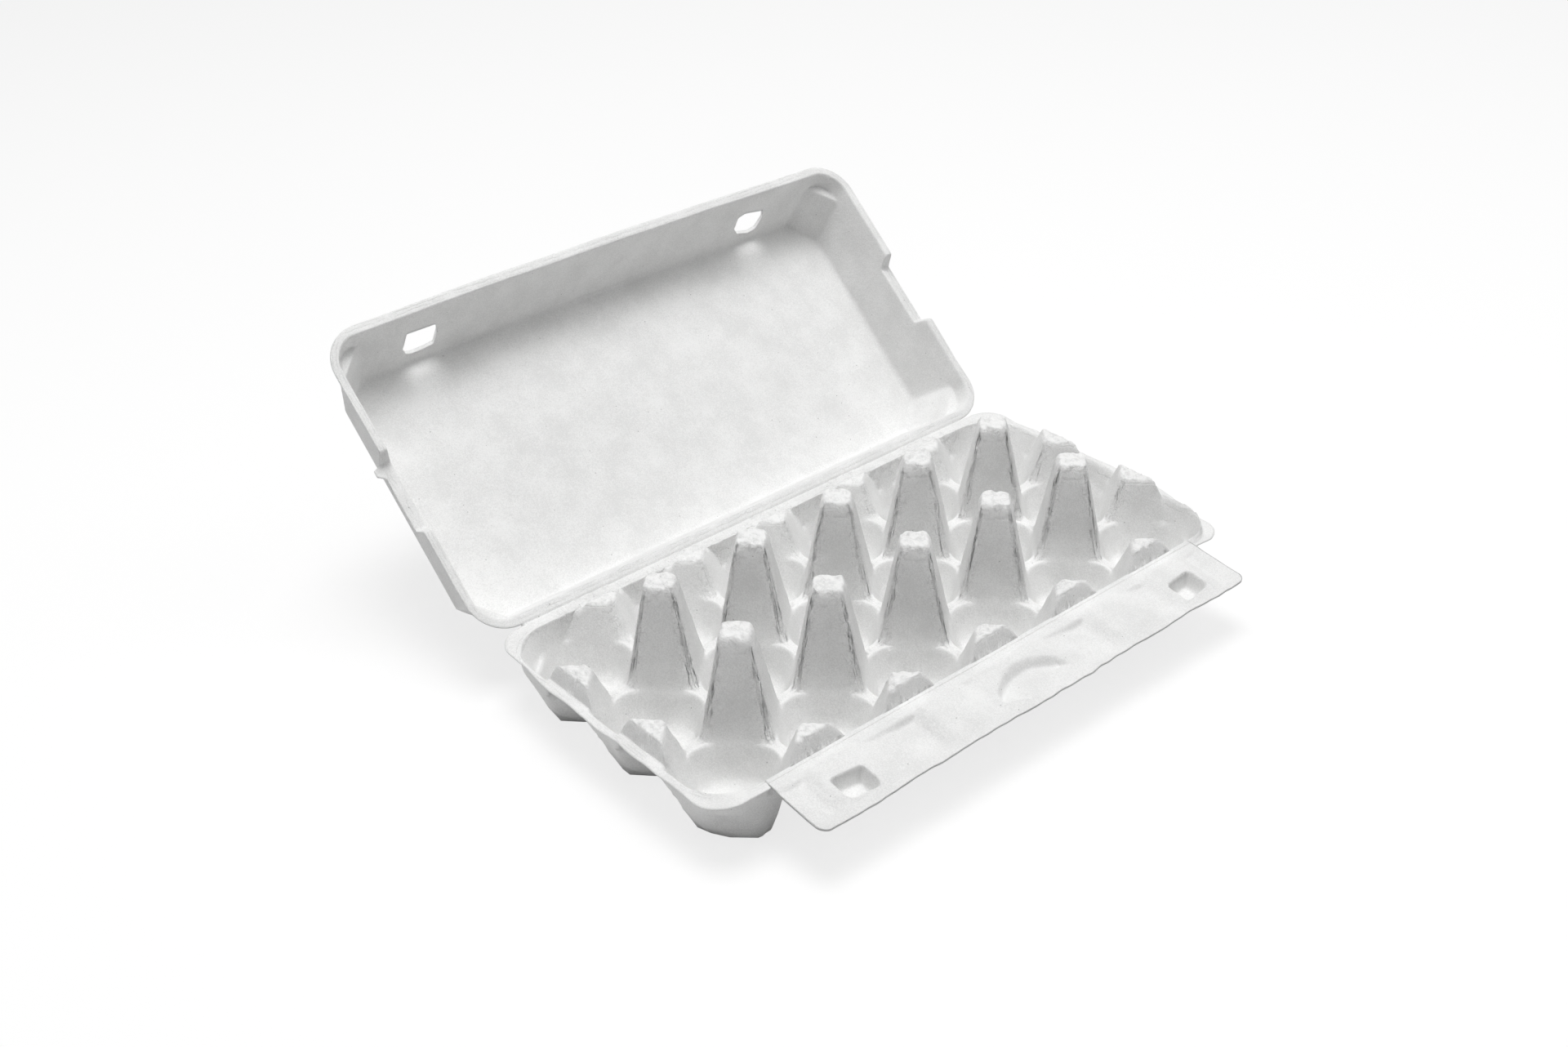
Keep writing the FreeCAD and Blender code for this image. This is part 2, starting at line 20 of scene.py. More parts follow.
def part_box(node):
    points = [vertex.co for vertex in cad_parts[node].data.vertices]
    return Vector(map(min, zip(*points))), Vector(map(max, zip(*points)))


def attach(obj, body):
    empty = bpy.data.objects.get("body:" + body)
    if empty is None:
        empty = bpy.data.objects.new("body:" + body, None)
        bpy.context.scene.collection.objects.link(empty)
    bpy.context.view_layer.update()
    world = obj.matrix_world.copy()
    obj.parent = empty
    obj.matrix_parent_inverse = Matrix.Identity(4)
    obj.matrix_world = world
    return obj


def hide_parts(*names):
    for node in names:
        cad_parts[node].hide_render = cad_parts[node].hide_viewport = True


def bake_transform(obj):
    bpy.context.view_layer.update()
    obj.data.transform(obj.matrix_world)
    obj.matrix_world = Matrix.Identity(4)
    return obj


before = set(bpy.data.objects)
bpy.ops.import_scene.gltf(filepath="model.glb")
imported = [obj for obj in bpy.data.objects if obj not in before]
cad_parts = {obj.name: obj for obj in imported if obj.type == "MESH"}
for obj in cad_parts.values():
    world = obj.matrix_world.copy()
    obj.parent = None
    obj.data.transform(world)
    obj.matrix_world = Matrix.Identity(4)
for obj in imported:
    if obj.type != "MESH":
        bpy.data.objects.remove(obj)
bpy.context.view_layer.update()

print("Blender", bpy.app.version_string, "numpy", np.__version__)

# %% [markdown]
# ## Where the bodies are
#
# The carton's origin lies under the middle of the open carton, so the tray's own middle lies nearer
# the front. It could be written down as a number. Here the tray's box is asked for it, so that the
# skins stay on the bodies. The lid's frame has its rim in a plane, with the fold along its X axis.
# The flap's frame has the flap's hinge along its X axis.

# %% Sizes that the bodies share
MM = 0.001  # a millimetre in metres
PITCH = 47.0  # from egg to egg
WALL = 2.0  # thickness of floors and flanges
SIDE_SKIN = 1.6  # thickness of the steep sides, measured level
RIDGE = 18.0  # height of the saddles between the cups
RIM = 29.25  # height of the tray's rim
FRONT_EDGE = 73.0  # tray's middle to its front edge
HINGE_LINE = 75.7  # tray's middle to the fold of the lid
LID_ANGLE = math.radians(42.0)  # slope of the open lid
FLAP_AXIS = (-69.25, 29.40)  # the flap's hinge: Y from the tray's middle, and height
FLAP_DROOP = math.radians(7.0)  # slope of the flap, downwards

TRAY_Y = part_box("tray")[0].y / MM + FRONT_EDGE
print("tray middle at y =", round(TRAY_Y, 3), "mm")


# %% From a body's frame to the carton's
def tray_place(points):
    """Tray frame to carton frame: a shift along Y."""
    return points + np.array([0.0, TRAY_Y, 0.0])


def turned(points, angle, y, z):
    """Points turned about an X axis through (y, z), after which the tray's shift is added."""
    c, s = math.cos(angle), math.sin(angle)
    out = np.empty_like(points)
    out[..., 0] = points[..., 0]
    out[..., 1] = y + points[..., 1] * c - points[..., 2] * s + TRAY_Y
    out[..., 2] = z + points[..., 1] * s + points[..., 2] * c
    return out


def lid_place(points):
    """Lid frame to carton frame."""
    return turned(points, LID_ANGLE, HINGE_LINE, RIM)


def flap_place(points):
    """Flap frame to carton frame."""
    return turned(points, FLAP_DROOP, *FLAP_AXIS)


print("a lid point 100 mm up the slope lies at", lid_place(np.array([0.0, 100.0, 0.0])).round(1), "mm")

# %% [markdown]
# ## Soft operations
#
# A moulding has no sharp edge anywhere, because the wet pulp rounds every corner of the mould. The
# forms could be cut sharp and bevelled afterwards. It is simpler to build the heights from soft
# operations: a larger-of and a smaller-of that blend where their two sides are nearly equal, and a
# graph with rounded bends. Then each form meets the next in a fillet, and its width is one number.


# %% Soft larger-of, smaller-of and graph
def soft_max(a, b, k):
    """The larger of a and b, with a blend k wide where they are nearly equal."""
    h = np.maximum(k - np.abs(a - b), 0.0) / k
    return np.maximum(a, b) + h * h * k / 4.0


def soft_min(a, b, k):
    """The smaller of a and b, with a blend k wide where they are nearly equal."""
    return -soft_max(-a, -b, k)


def bent(x, xs, ys, soft):
    """Straight stretches through the points (xs, ys), averaged over a window soft wide."""
    return np.mean([np.interp(x + soft * s, xs, ys) for s in np.linspace(-0.5, 0.5, 9)], axis=0)


def slope(x, x0, y0, x1, y1):
    """The straight line through (x0, y0) and (x1, y1), without ends."""
    return y0 + (x - x0) * (y1 - y0) / (x1 - x0)


def smooth(share):
    """Eases a share between 0 and 1 at both its ends: 3 s squared less 2 s cubed."""
    return share * share * (3 - 2 * share)


print("two planes that cross are lifted by", soft_max(0.0, 0.0, 2.0), "mm where the blend is 2 mm wide")


# %% Rounded outline and slow ripples
def rounded_box(x, y, half_x, half_y, radius):
    """Distance outside a rounded rectangle, negative inside."""
    qx, qy = np.abs(x) - half_x + radius, np.abs(y) - half_y + radius
    return np.hypot(np.maximum(qx, 0), np.maximum(qy, 0)) + np.minimum(np.maximum(qx, qy), 0) - radius


def ripples(x, y, length, seed):
    """Slow random field between about -1 and 1: a sum of 14 plane waves of nearly one length."""
    dice = np.random.default_rng(seed)
    total = np.zeros_like(x)
    for _ in range(14):
        turn, phase = dice.uniform(0, 2 * np.pi, 2)
        k = 2 * np.pi / (length * dice.uniform(0.7, 1.5))
        total += np.cos(k * (x * np.cos(turn) + y * np.sin(turn)) + phase)
    return total / 3.7


def stretches(*knots):
    """Grid line positions: each knot is (position, number of steps that lead to it)."""
    out = [knots[0]]
    for position, steps in knots[1:]:
        out.extend(np.linspace(out[-1], position, steps + 1)[1:])
    return np.array(out)


row_of_points = np.linspace(0.0, 200.0, 400)
example = ripples(row_of_points, row_of_points, 34.0, 8)
print("ripples reach from", example.min().round(2), "to", example.max().round(2))

# %% [markdown]
# ## From two faces to one skin
#
# Moulded pulp is a sheet with two faces and a rounded edge. A solidify modifier could thicken one
# face, but it would thicken it evenly, and the pulp is thicker in the floors than in the steep
# sides. So every skin here is written from two grids of points, one for each face, and a band of
# narrow faces closes them along the outline and round each hole.


# %% Mesh writer
def mesh_object(name, points, faces, values, place):
    """Mesh object from points in a body's frame, with smooth shading and one value per attribute."""
    data = bpy.data.meshes.new(name)
    data.from_pydata(place(points) * MM, [], faces)
    for key, value in values.items():
        data.attributes.new(key, "FLOAT", "POINT").data.foreach_set("value", value.astype(np.float32))
    data.shade_smooth()
    data.update()
    obj = bpy.data.objects.new(name, data)
    bpy.context.scene.collection.objects.link(obj)
    print(name, len(points), "points", len(faces), "faces")
    return obj


def quads(index):
    """The four corners of each square of an index grid, anticlockwise."""
    return np.stack([index[:-1, :-1], index[1:, :-1], index[1:, 1:], index[:-1, 1:]], axis=-1)


def outline_edges(index, keep):
    """Edges that have a kept square on their left and none on their right."""
    ring = np.pad(keep, 1)
    sides = [
        (index[:-1, :-1], index[1:, :-1], ring[1:-1, :-2]),
        (index[1:, :-1], index[1:, 1:], ring[2:, 1:-1]),
        (index[1:, 1:], index[:-1, 1:], ring[1:-1, 2:]),
        (index[:-1, 1:], index[:-1, :-1], ring[:-2, 1:-1]),
    ]
    return np.concatenate([np.stack([a[keep & ~o], b[keep & ~o]], axis=-1) for a, b, o in sides])


def outward_of(high, edges):
    """Level direction away from the kept squares, of length 1 at each point of the outline."""
    normal = np.cross(high[edges[:, 1]] - high[edges[:, 0]], np.array([0.0, 0.0, 1.0]))
    outward = np.zeros_like(high)
    np.add.at(outward, edges[:, 0], normal)
    np.add.at(outward, edges[:, 1], normal)
    return outward / np.maximum(np.linalg.norm(outward, axis=1, keepdims=True), 1e-9)


square = np.arange(16).reshape(4, 4)
print("a plain grid of 9 squares has", len(outline_edges(square, np.ones((3, 3), bool))), "outline edges")


# %% Closed skin between two grids
BAND_DROP = (0.3, 0.7)  # shares of the way down at which a band bulges
BULGE = 0.25  # how far a band bulges


def shell(name, upper, lower, keep, place, masks, coarse=1, bulge=BULGE):
    """Closed skin between two grids of points.

    keep says which squares exist. The lower face may use every second line. Round the outline and
    round each hole runs a band: it leaves the upper edge, bulges outwards at the shares of the way
    down in BAND_DROP, and meets the lower edge. The masks fade to nothing down the band, because the
    lower face is smooth. The band and the lower face use the upper face's order of points.
    """
    index = np.arange(upper.shape[0] * upper.shape[1]).reshape(upper.shape[:2])
    count = index.size
    top = quads(index)[keep]
    under = quads(index[::coarse, ::coarse])[keep[::coarse, ::coarse]][:, ::-1] + count
    edges = outline_edges(index, keep)
    high, low = upper.reshape(-1, 3), lower.reshape(-1, 3)
    outward = outward_of(high, edges)

    points, faces = [high, low], [top, under]
    previous = edges
    for level, share in enumerate(BAND_DROP):
        row = high + outward * bulge
        row[:, 2] = high[:, 2] + (low[:, 2] - high[:, 2]) * share
        points.append(row)
        following = edges + count * (2 + level)
        faces.append(np.stack([previous[:, 1], previous[:, 0], following[:, 0], following[:, 1]], axis=-1))
        previous = following
    following = edges + count
    faces.append(np.stack([previous[:, 1], previous[:, 0], following[:, 0], following[:, 1]], axis=-1))

    faces = np.concatenate(faces)
    used, renumbered = np.unique(faces, return_inverse=True)
    points = np.concatenate(points)[used]
    fade = [1.0, 0.0] + [1.0 - share for share in BAND_DROP]
    values = {key: np.outer(fade, value.ravel()).ravel()[used] for key, value in masks.items()}
    return mesh_object(name, points, renumbered.reshape(faces.shape).tolist(), values, place)


def wear(obj, node):
    """Hands a skin to its body: it rides on the body and is seen in its place."""
    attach(obj, node)
    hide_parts(node)


print("a band has", len(BAND_DROP) + 1, "rows of faces between the two faces")

# %% [markdown]
# ## The tray's plan
#
# A plain square grid would cut across the edges of the posts, which stand diagonally between the
# cups, and leave them ragged. So the grid lines of each cup run in rings: near the middle they
# follow the cup's rounded octagon, further out they follow the level lines of the four post faces,
# and at the border they are the square that the neighbour shares. A ring's reach is its distance
# along X or Y, and its slant is its distance along a diagonal. Outside the last cups a few straight
# lines carry the rim.

# %% Rings of a cup
HALF_PITCH = PITCH / 2
CORNER_SLANT = PITCH / math.sqrt(2)
RINGS = 30
RING_AT = [0, 2, 4, 6, 10, 12, 14, 22, 26, RINGS]
RING_REACH = [0.0, 10.5, 15.2, 17.3, 20.2, 21.0, 21.6, 22.6, 23.0, HALF_PITCH]
RING_REACH_UNDER = [0.0, 11.5, 17.0, 18.2, 20.2, 21.0, 21.6, 22.6, 23.0, HALF_PITCH]
RING_SLANT = [0.0, 9.5, 13.8, 15.7, 17.7, 18.7, 19.8, 26.3, 28.5, CORNER_SLANT]
POST_TOP_CORNER = 16.6  # from a cup's axis to the edge of the post's face, at the post's top
FLOOR_REACH, FLOOR_SLANT = 12.6, 11.4  # where a cup's floor ends
MOUTH_REACH, MOUTH_SLANT = 20.9, 18.3  # where its sides end
POST_SLANT = 27.5  # where the post's face ends, near its top


def ring_outline(reach, slant, t):
    """Point at share t of one eighth of a ring: from the axis (t = 0) to the diagonal (t = 1).

    The ring is a square with cut corners. Half of the share is spent up to the cut's end, more
    densely near it, so that the same grid line follows the edge of a post on every ring.
    """
    corner = slant * math.sqrt(2) - reach
    first = np.minimum(corner, POST_TOP_CORNER)
    q = np.clip(t / 0.5, 0, 1)
    near = first * (1.6 * q - 0.6 * q * q)
    rest = (corner - first) + (reach - corner) / math.sqrt(2)
    far = np.clip((t - 0.5) / 0.5, 0, 1) * rest
    straight = np.minimum(far, corner - first)
    cut = (far - straight) / math.sqrt(2)
    return reach - cut, near + straight + cut


def ring_sizes(grow):
    """Reach of the upper face's rings, then reach and slant of this face's.

    grow moves a cup's floor and sides outwards, and leaves the border with the neighbour in place.
    """
    steps = np.arange(RINGS + 1)
    grown = ([0, FLOOR_REACH, MOUTH_REACH, HALF_PITCH],
             [0, FLOOR_REACH + grow, MOUTH_REACH + grow, HALF_PITCH])
    grown_slant = ([0, FLOOR_SLANT, MOUTH_SLANT, POST_SLANT, CORNER_SLANT],
                   [0, FLOOR_SLANT + grow, MOUTH_SLANT + grow, POST_SLANT + grow, CORNER_SLANT])
    plain = np.interp(np.interp(steps, RING_AT, RING_REACH), *grown)
    inner = np.interp(np.interp(steps, RING_AT, RING_REACH_UNDER), *grown) if grow else plain
    return plain, inner, np.interp(np.interp(steps, RING_AT, RING_SLANT), *grown_slant)


ring_turn = ring_outline(RING_REACH[5], RING_SLANT[5], 0.5)
print("ring", RING_AT[5], "of", RINGS, "turns at", np.round(ring_turn, 1), "mm from the cup's middle")

# %% The rim's lines and the tray's round corners
RIM_LINES_END = [24.2, 25.0, 25.7, 26.4, 27.0, 27.5, 28.0]
RIM_LINES_FRONT = [23.8, 24.1, 24.5, 24.9, 25.3, 25.7, 26.0]
RIM_LINES_BACK = [24.0, 24.6, 25.2, 25.9, 26.8, 27.6, 28.4]
CORNER_TURN = ([0.0, 13.0, 20.9, 25.0, 28.0], [0.0, 12.4, 19.5, 20.5, 13.0])  # radius at each reach


def turned_outline(along, across, radius, t):
    """A ring of the carton's outer corner: a rectangle with a round corner, t as in ring_outline."""
    straight = np.maximum(across - radius, 0)
    distance = t * (straight + radius * math.pi / 4)
    angle = np.clip((distance - straight) / np.maximum(radius, 1e-6), 0, math.pi / 4)
    bend = distance > straight
    first = np.where(bend, along - radius + radius * np.cos(angle), along)
    second = np.where(bend, across - radius + radius * np.sin(angle), distance)
    return first, second


print("the rim's lines end", RIM_LINES_END[-1], "mm from the middle of the last cup")


# %% Plan of the whole tray
def tray_plan(grow):
    """Plan positions of the tray's grid, three rows of six cups and the rim's lines round them.

    Each line number is split into its cup and its ring in that cup. The larger of the two ring
    numbers says which ring the point is on, the smaller says how far round it lies.
    """
    strip = len(RIM_LINES_END)
    i, j = np.meshgrid(
        np.arange(-3 * 2 * RINGS - strip, 3 * 2 * RINGS + strip + 1),
        np.arange(-3 * RINGS - strip, 3 * RINGS + strip + 1), indexing="ij",
    )
    column = np.clip(np.floor(i / (2 * RINGS)), -3, 2)
    row = np.clip(np.floor((j + RINGS) / (2 * RINGS)), -1, 1)
    right = (i - (2 * column + 1) * RINGS).astype(float)
    back = (j - 2 * row * RINGS).astype(float)
    ring_x, ring_y = np.abs(right).astype(int), np.abs(back).astype(int)
    major, minor = np.maximum(ring_x, ring_y), np.minimum(ring_x, ring_y)
    t = minor / np.maximum(major, 1)

    plain, inner, slant = ring_sizes(grow)
    to_end = np.append(inner, RIM_LINES_END)
    to_front, to_back = np.append(inner, RIM_LINES_FRONT), np.append(inner, RIM_LINES_BACK)
    ring = np.minimum(major, RINGS)
    p, q = ring_outline(inner[ring], slant[ring], np.where(major > RINGS, minor / RINGS, t))
    x_first = ring_x >= ring_y
    side = np.where(back < 0, to_front[ring_y], to_back[ring_y])
    x = np.where(x_first, np.where(ring_x > RINGS, to_end[ring_x], p), q)
    y = np.where(x_first, q, np.where(ring_y > RINGS, side, p))

    last_column = (np.abs(column + 0.5) == 2.5) & (np.sign(right) == np.sign(column + 0.5))
    corner = last_column & (np.sign(back) == row) & (row != 0)
    reach_x = np.append(plain, RIM_LINES_END)[major]
    reach_front, reach_back = np.append(plain, RIM_LINES_FRONT), np.append(plain, RIM_LINES_BACK)
    reach_y = np.where(back < 0, reach_front[major], reach_back[major])
    radius = np.interp(reach_x, *CORNER_TURN)
    a1, b1 = turned_outline(reach_x, reach_y, radius, t)
    b2, a2 = turned_outline(reach_y, reach_x, radius, t)
    x = np.where(corner, np.where(x_first, a1, a2), x)
    y = np.where(corner, np.where(x_first, b1, b2), y)
    return (column + 0.5) * PITCH + np.sign(right) * x, row * PITCH + np.sign(back) * y


plan_x, plan_y = tray_plan(0.0)
print("plan", plan_x.shape, "lines,", round(np.ptp(plan_x), 1), "by", round(np.ptp(plan_y), 1), "mm")

# %% [markdown]
# ## The tray's heights
#
# The upper face is the highest of four forms: the cups with the ridge between them, the well of
# the outer walls with the rim, the posts, and the half-posts. A post is a tall pyramid with
# blunted corners. A half-post is the same form cut off where the lid's wall or the flap comes down.
# Boxes and booleans could build them too, but one formula for the height leaves no seams. The
# lower face is made by the same formulas, with every side offset by the thickness of the wall.

# %% Sizes of posts and rim
POST = dict(top=61.0, reach=7.6, slant=6.2, base_reach=18.2, base_slant=14.6, soft=1.6)
HALF_POST = dict(top=36.9, reach=10.4, slant=8.5, base_reach=18.5, base_slant=14.93, soft=1.0)
BACK_HALF_POST = dict(HALF_POST, top=RIM + 3.3, slant=8.6, soft=0.9)
END_RIM, FRONT_RIM, BACK_RIM = 142.5, 68.9, 69.6  # tray's middle to where the rim is level
RIM_CORNER = 20.5
FOOT_X, FOOT_Y, FOOT_CORNER = 138.4, 67.9, 23.0  # foot of the outer walls, at the ridge's height
TRAY_EDGE = (145.5, 74.35, 12.0)  # half sizes and corner of the flange's outline
EDGE_MIDDLE = (HINGE_LINE - FRONT_EDGE) / 2  # tray's middle to the middle of that outline
FRONT_SEAT, BACK_SEAT, END_SEAT = 69.3, 67.3, 140.9  # tray's middle to each seat, at the rim's height
FLAP_HALF = 119.7  # half of the flap's length
FOLD_START = 69.2  # tray's middle to where the tray ends behind the flap
LOCK_LEAN, END_LEAN = math.radians(15.0), math.radians(13.0)  # lean of the front wall, and of the ends


def pyramid(px, py, skin, top, reach, slant, base_reach, base_slant, soft):
    """Height of a post: a flat top, four diagonal faces and a narrow face along each arris.

    reach and slant are half its width along an arris and across a face, at the top. The base
    values are the same at the ridge's height. The height falls in a straight line between them.
    """
    def level(a):
        return slope(a + skin, reach, slant, base_reach, base_slant)

    axis = soft_max(level(np.abs(px)), level(np.abs(py)), 0.6)
    face = (np.abs(px) + np.abs(py)) / math.sqrt(2) + skin
    u = soft_max(axis, face, 1.1)
    rate = (top - RIDGE) / (base_slant - slant)
    return bent(u, [0, slant, slant + 30], [top, top, top - 30 * rate], soft)


def nearest_post(x, y):
    """Middle of the post nearest to each point: on the pitch along X, half a pitch off along Y."""
    return np.clip(np.round(x / PITCH), -2, 2) * PITCH, np.where(y < 0, -0.5, 0.5) * PITCH


print("top of a post", pyramid(0.0, 0.0, 0.0, **POST), "mm, of a half-post", HALF_POST["top"], "mm")


# %% Cups and outer walls
def cup_height(x, y, skin):
    """Bowl of the nearest cup: floor, foot and side are a graph over the distance from its middle.

    The distance is the soft larger of one along X or Y and one along the diagonal, so the bowl is
    a rounded octagon. Under the tray the blends are tighter and the bottom is more diagonal.
    """
    cup_x = (np.clip(np.round(x / PITCH - 0.5), -3, 2) + 0.5) * PITCH
    cup_y = np.clip(np.round(y / PITCH), -1, 1) * PITCH
    dx, dy = np.abs(x - cup_x), np.abs(y - cup_y)
    diagonal = (dx + dy) / math.sqrt(2) - skin
    as_reach = np.interp(diagonal, [0, 12.5, 15.0, MOUTH_SLANT, 24.0], [1.0, 13.8, 16.4, MOUTH_REACH, 28.6])
    ease, wider = (0.35, 1.4) if skin else (1.0, 0.0)
    straight = soft_max(dx - skin, dy - skin, 3.0 * ease)
    if skin:
        straight = np.interp(straight, [0, 17.0, MOUTH_REACH, 60], [0, 15.2, MOUTH_REACH, 60])
    u = soft_max(straight, as_reach, 4.5 * ease)
    floor_ends, foot_ends = 13.8 + wider, 16.4 + 0.7 * wider
    return bent(u, [0, floor_ends, foot_ends, MOUTH_REACH, 60], [2.0, 2.0, 4.5, RIDGE, RIDGE], 0.9 * ease)


def rim_distance(x, y, skin):
    """Distance outside the line where the outer wall reaches the level rim, negative inside."""
    side = np.where(y < 0, FRONT_RIM, BACK_RIM)
    return rounded_box(x, y, END_RIM + skin, side + skin, RIM_CORNER)


def well_height(x, y, skin):
    """Outer wall: it rises in a straight line from its foot at the ridge's height to the rim."""
    foot = rounded_box(x, y, FOOT_X + skin, FOOT_Y + skin, FOOT_CORNER)
    share = foot / np.maximum(foot - rim_distance(x, y, skin), 1e-6)
    return bent(share, [-6, 0, 1], [RIDGE - 6 * (RIM - RIDGE), RIDGE, RIM], 0.16)


floor_at, ridge_at = cup_height(HALF_PITCH, 0.0, 0.0), cup_height(0.0, 0.0, 0.0)
print("cup floor at", floor_at.round(2), "mm, ridge at", ridge_at.round(2), "mm")


# %% Half-posts and the whole height
def seat_height(line, inward, lean):
    """Slope on which the lid or the flap comes down: from the rim at a line, rising inwards."""
    return RIM + np.maximum(line - inward, 0) / math.tan(lean)


def half_post_height(x, y, skin):
    """The highest of the half-posts at the front, back and end walls, each cut by its own seat."""
    post_x, post_y = nearest_post(x, y)
    wall_x, wall_y = 3 * PITCH, 1.5 * PITCH
    front = pyramid(x - post_x, y + wall_y, skin, **HALF_POST)
    front = soft_min(front, seat_height(FRONT_SEAT - skin, np.abs(y), LOCK_LEAN), 1.0)
    back = pyramid(x - post_x, y - wall_y, skin, **BACK_HALF_POST)
    back = soft_min(back, seat_height(BACK_SEAT - skin, y, LOCK_LEAN), 0.8)
    end = pyramid(np.abs(x) - wall_x, y - post_y, skin, **HALF_POST)
    end = soft_min(end, seat_height(END_SEAT - skin, np.abs(x), END_LEAN), 1.0)
    return np.maximum(np.maximum(front, np.where(y > 0, back, -99)), end)


def tray_height(x, y, skin, drop):
    """Height of the tray's upper face (skin 0, drop 0) or lower face (skin and drop of the wall).

    The flange gets thinner by 0.55 of the wall over the last 3 mm before its edge.
    """
    ground = soft_max(cup_height(x, y, skin), well_height(x, y, skin), 1.5)
    post_x, post_y = nearest_post(x, y)
    post = pyramid(x - post_x, y - post_y, skin, **POST)
    height = soft_max(soft_max(ground, post, 1.2), half_post_height(x, y, skin), 1.2)
    height = np.where(rim_distance(x, y, skin) > 0, np.maximum(height, RIM), height)
    half_x, half_y, corner = TRAY_EDGE
    thin = 0.55 * np.clip((rounded_box(x, y - EDGE_MIDDLE, half_x, half_y, corner) + 3.0) / 3.0, 0, 1)
    return height - drop * (1 - thin)


print("heights from", tray_height(plan_x, plan_y, 0.0, 0.0).min().round(2), "to",
      tray_height(plan_x, plan_y, 0.0, 0.0).max().round(2), "mm")


# %% The two faces of the tray
WAVE = 0.3  # height of the waves of a free rim
FRONT_DRAWN, BACK_DRAWN = (2.8, 2.6), (2.6, 0.0)  # how far a corner is drawn in along X, and down
DRAWN_ALONG_Y = 0.8


def tray_face(grow, skin, drop, front):
    """One face of the tray as a grid of points. Behind the flap it ends at the line y = -front.

    Pulp dries unevenly, so the free rim waves a little, and the front right and back left corners
    are drawn in. lip is 0 inside the rim's line and 1 on the flange.
    """
    x, y = tray_plan(grow)
    lip = np.clip(rounded_box(x, y - 0.3, END_RIM, FOLD_START, RIM_CORNER) / 3.0, 0, 1)
    drawn_in = lip * np.clip((np.abs(x) - 112.0) / 24.0, 0, 1)
    drawn_in = drawn_in * np.clip((x * np.sign(-y) - 100.0) / 20.0, 0, 1)
    drawn_in = drawn_in * np.clip((np.abs(y) - 30.0) / 30.0, 0, 1)
    cut = (np.abs(x) < FLAP_HALF) & (y < -front)
    y = np.where(cut, -front, y)
    free = lip * np.clip((70.0 - y) / 15.0, 0, 1) * ~cut
    inwards, down = [drawn_in * np.where(y < 0, *pair) for pair in zip(FRONT_DRAWN, BACK_DRAWN)]
    z = tray_height(x, y, skin, drop) - down + WAVE * free * (ripples(x, y, 34.0, 8) - 1)
    x = x - np.sign(x) * (inwards - WAVE * free * ripples(x, y, 21.0, 9))
    y = y - np.sign(y) * drawn_in * DRAWN_ALONG_Y
    return np.stack([x, y, z], axis=-1), cut


upper, cut = tray_face(0.0, 0.0, 0.0, FOLD_START)
lower, _ = tray_face(SIDE_SKIN, SIDE_SKIN, WALL, FOLD_START + 2.1)
print("tray grid", upper.shape, "lowest", lower[..., 2].min().round(2), "mm")

# %% [markdown]
# ### Crinkles as masks
#
# The pulp is smooth on the faces and crinkled along the arrises and tops of the posts, where the
# sheet bends hardest. The crinkles could be painted on as a picture. Here three
# values between 0 and 1 are stored at each point, and the material draws its lines by them: worn
# for the arrises, cap for the tops, and edge for the rim. A little of worn also moves the points.


# %% How crinkled the tray is
def crease(x, y):
    """Three fields over the plan: how crinkled, how near the rim's edge, and whether inside the seats.

    Crinkles fade with the distance from an arris over its width, and fill a post's top.
    """
    near_end, near_side = np.abs(x) > 2.5 * PITCH, np.abs(y) > PITCH
    post_x, post_y = nearest_post(x, y)
    px = np.abs(x - np.where(near_end, np.sign(x) * 3 * PITCH, post_x))
    py = np.abs(y - np.where(near_side, np.sign(y) * 1.5 * PITCH, post_y))
    diagonal = (px + py) / math.sqrt(2)
    beside = np.minimum(px, py)
    top_slant = np.where(near_end | near_side, 8.7, 6.6)
    width = slope(diagonal, 5.7, 2.1, 14.9, 3.4)
    arris = np.clip(1.35 - beside / width, 0, 1) * np.clip((16.5 - diagonal) / 3.0, 0, 1)
    top = np.clip((top_slant + 0.4 - diagonal) / 0.8, 0, 1)
    inside = np.clip(1 - np.maximum(np.abs(x) - 138.6, -y - 66.8), 0, 1)
    worn = np.where(near_end & near_side, 0, np.maximum(arris, top) * inside)
    rim = np.clip(1 - np.abs(rim_distance(x, y, 0.0) - 0.4) / 3.0, 0, 1)
    return worn, rim, inside


def tray_masks(points):
    """Masks of the tray's upper face. cap starts a little under the top of each post and half-post."""
    x, y, z = points[..., 0], points[..., 1], points[..., 2]
    worn, rim, inside = crease(x, y)
    beside_wall = (np.abs(x) > 2.5 * PITCH) | (np.abs(y) > PITCH)
    cap_from = np.where(beside_wall, np.where(y > 1.2 * PITCH, RIM + 1.5, 34.6), 56.0)
    cap = np.clip((z - cap_from) / 1.6, 0, 1) * inside
    edge = rim * np.clip(RIM + 1.5 - z, 0, 1) * np.where(y > 0, 0.6, 1.0)
    return {"worn": worn, "cap": cap, "edge": edge}


def crinkled(points, worn):
    """Points moved by short ripples where they are worn, up and down and, on the posts, sideways."""
    x, y = points[..., 0], points[..., 1]
    z = points[..., 2] + worn * 0.3 * ripples(x, y, 3.6, 4) * np.where(y > 1.2 * PITCH, 0.4, 1.0)
    shake = 0.2 * worn * np.clip((z - 19.0) / 3.0, 0, 1)
    moved_x = x + shake * ripples(x + z, y - z, 4.5, 5)
    moved_y = y + shake * ripples(x - z, y + z, 4.5, 6)
    return np.stack([moved_x, moved_y, z], axis=-1)


masks = tray_masks(upper)
upper = crinkled(upper, masks["worn"])
print({key: f"{100 * (value > 0.5).mean():.1f}% of the points" for key, value in masks.items()})

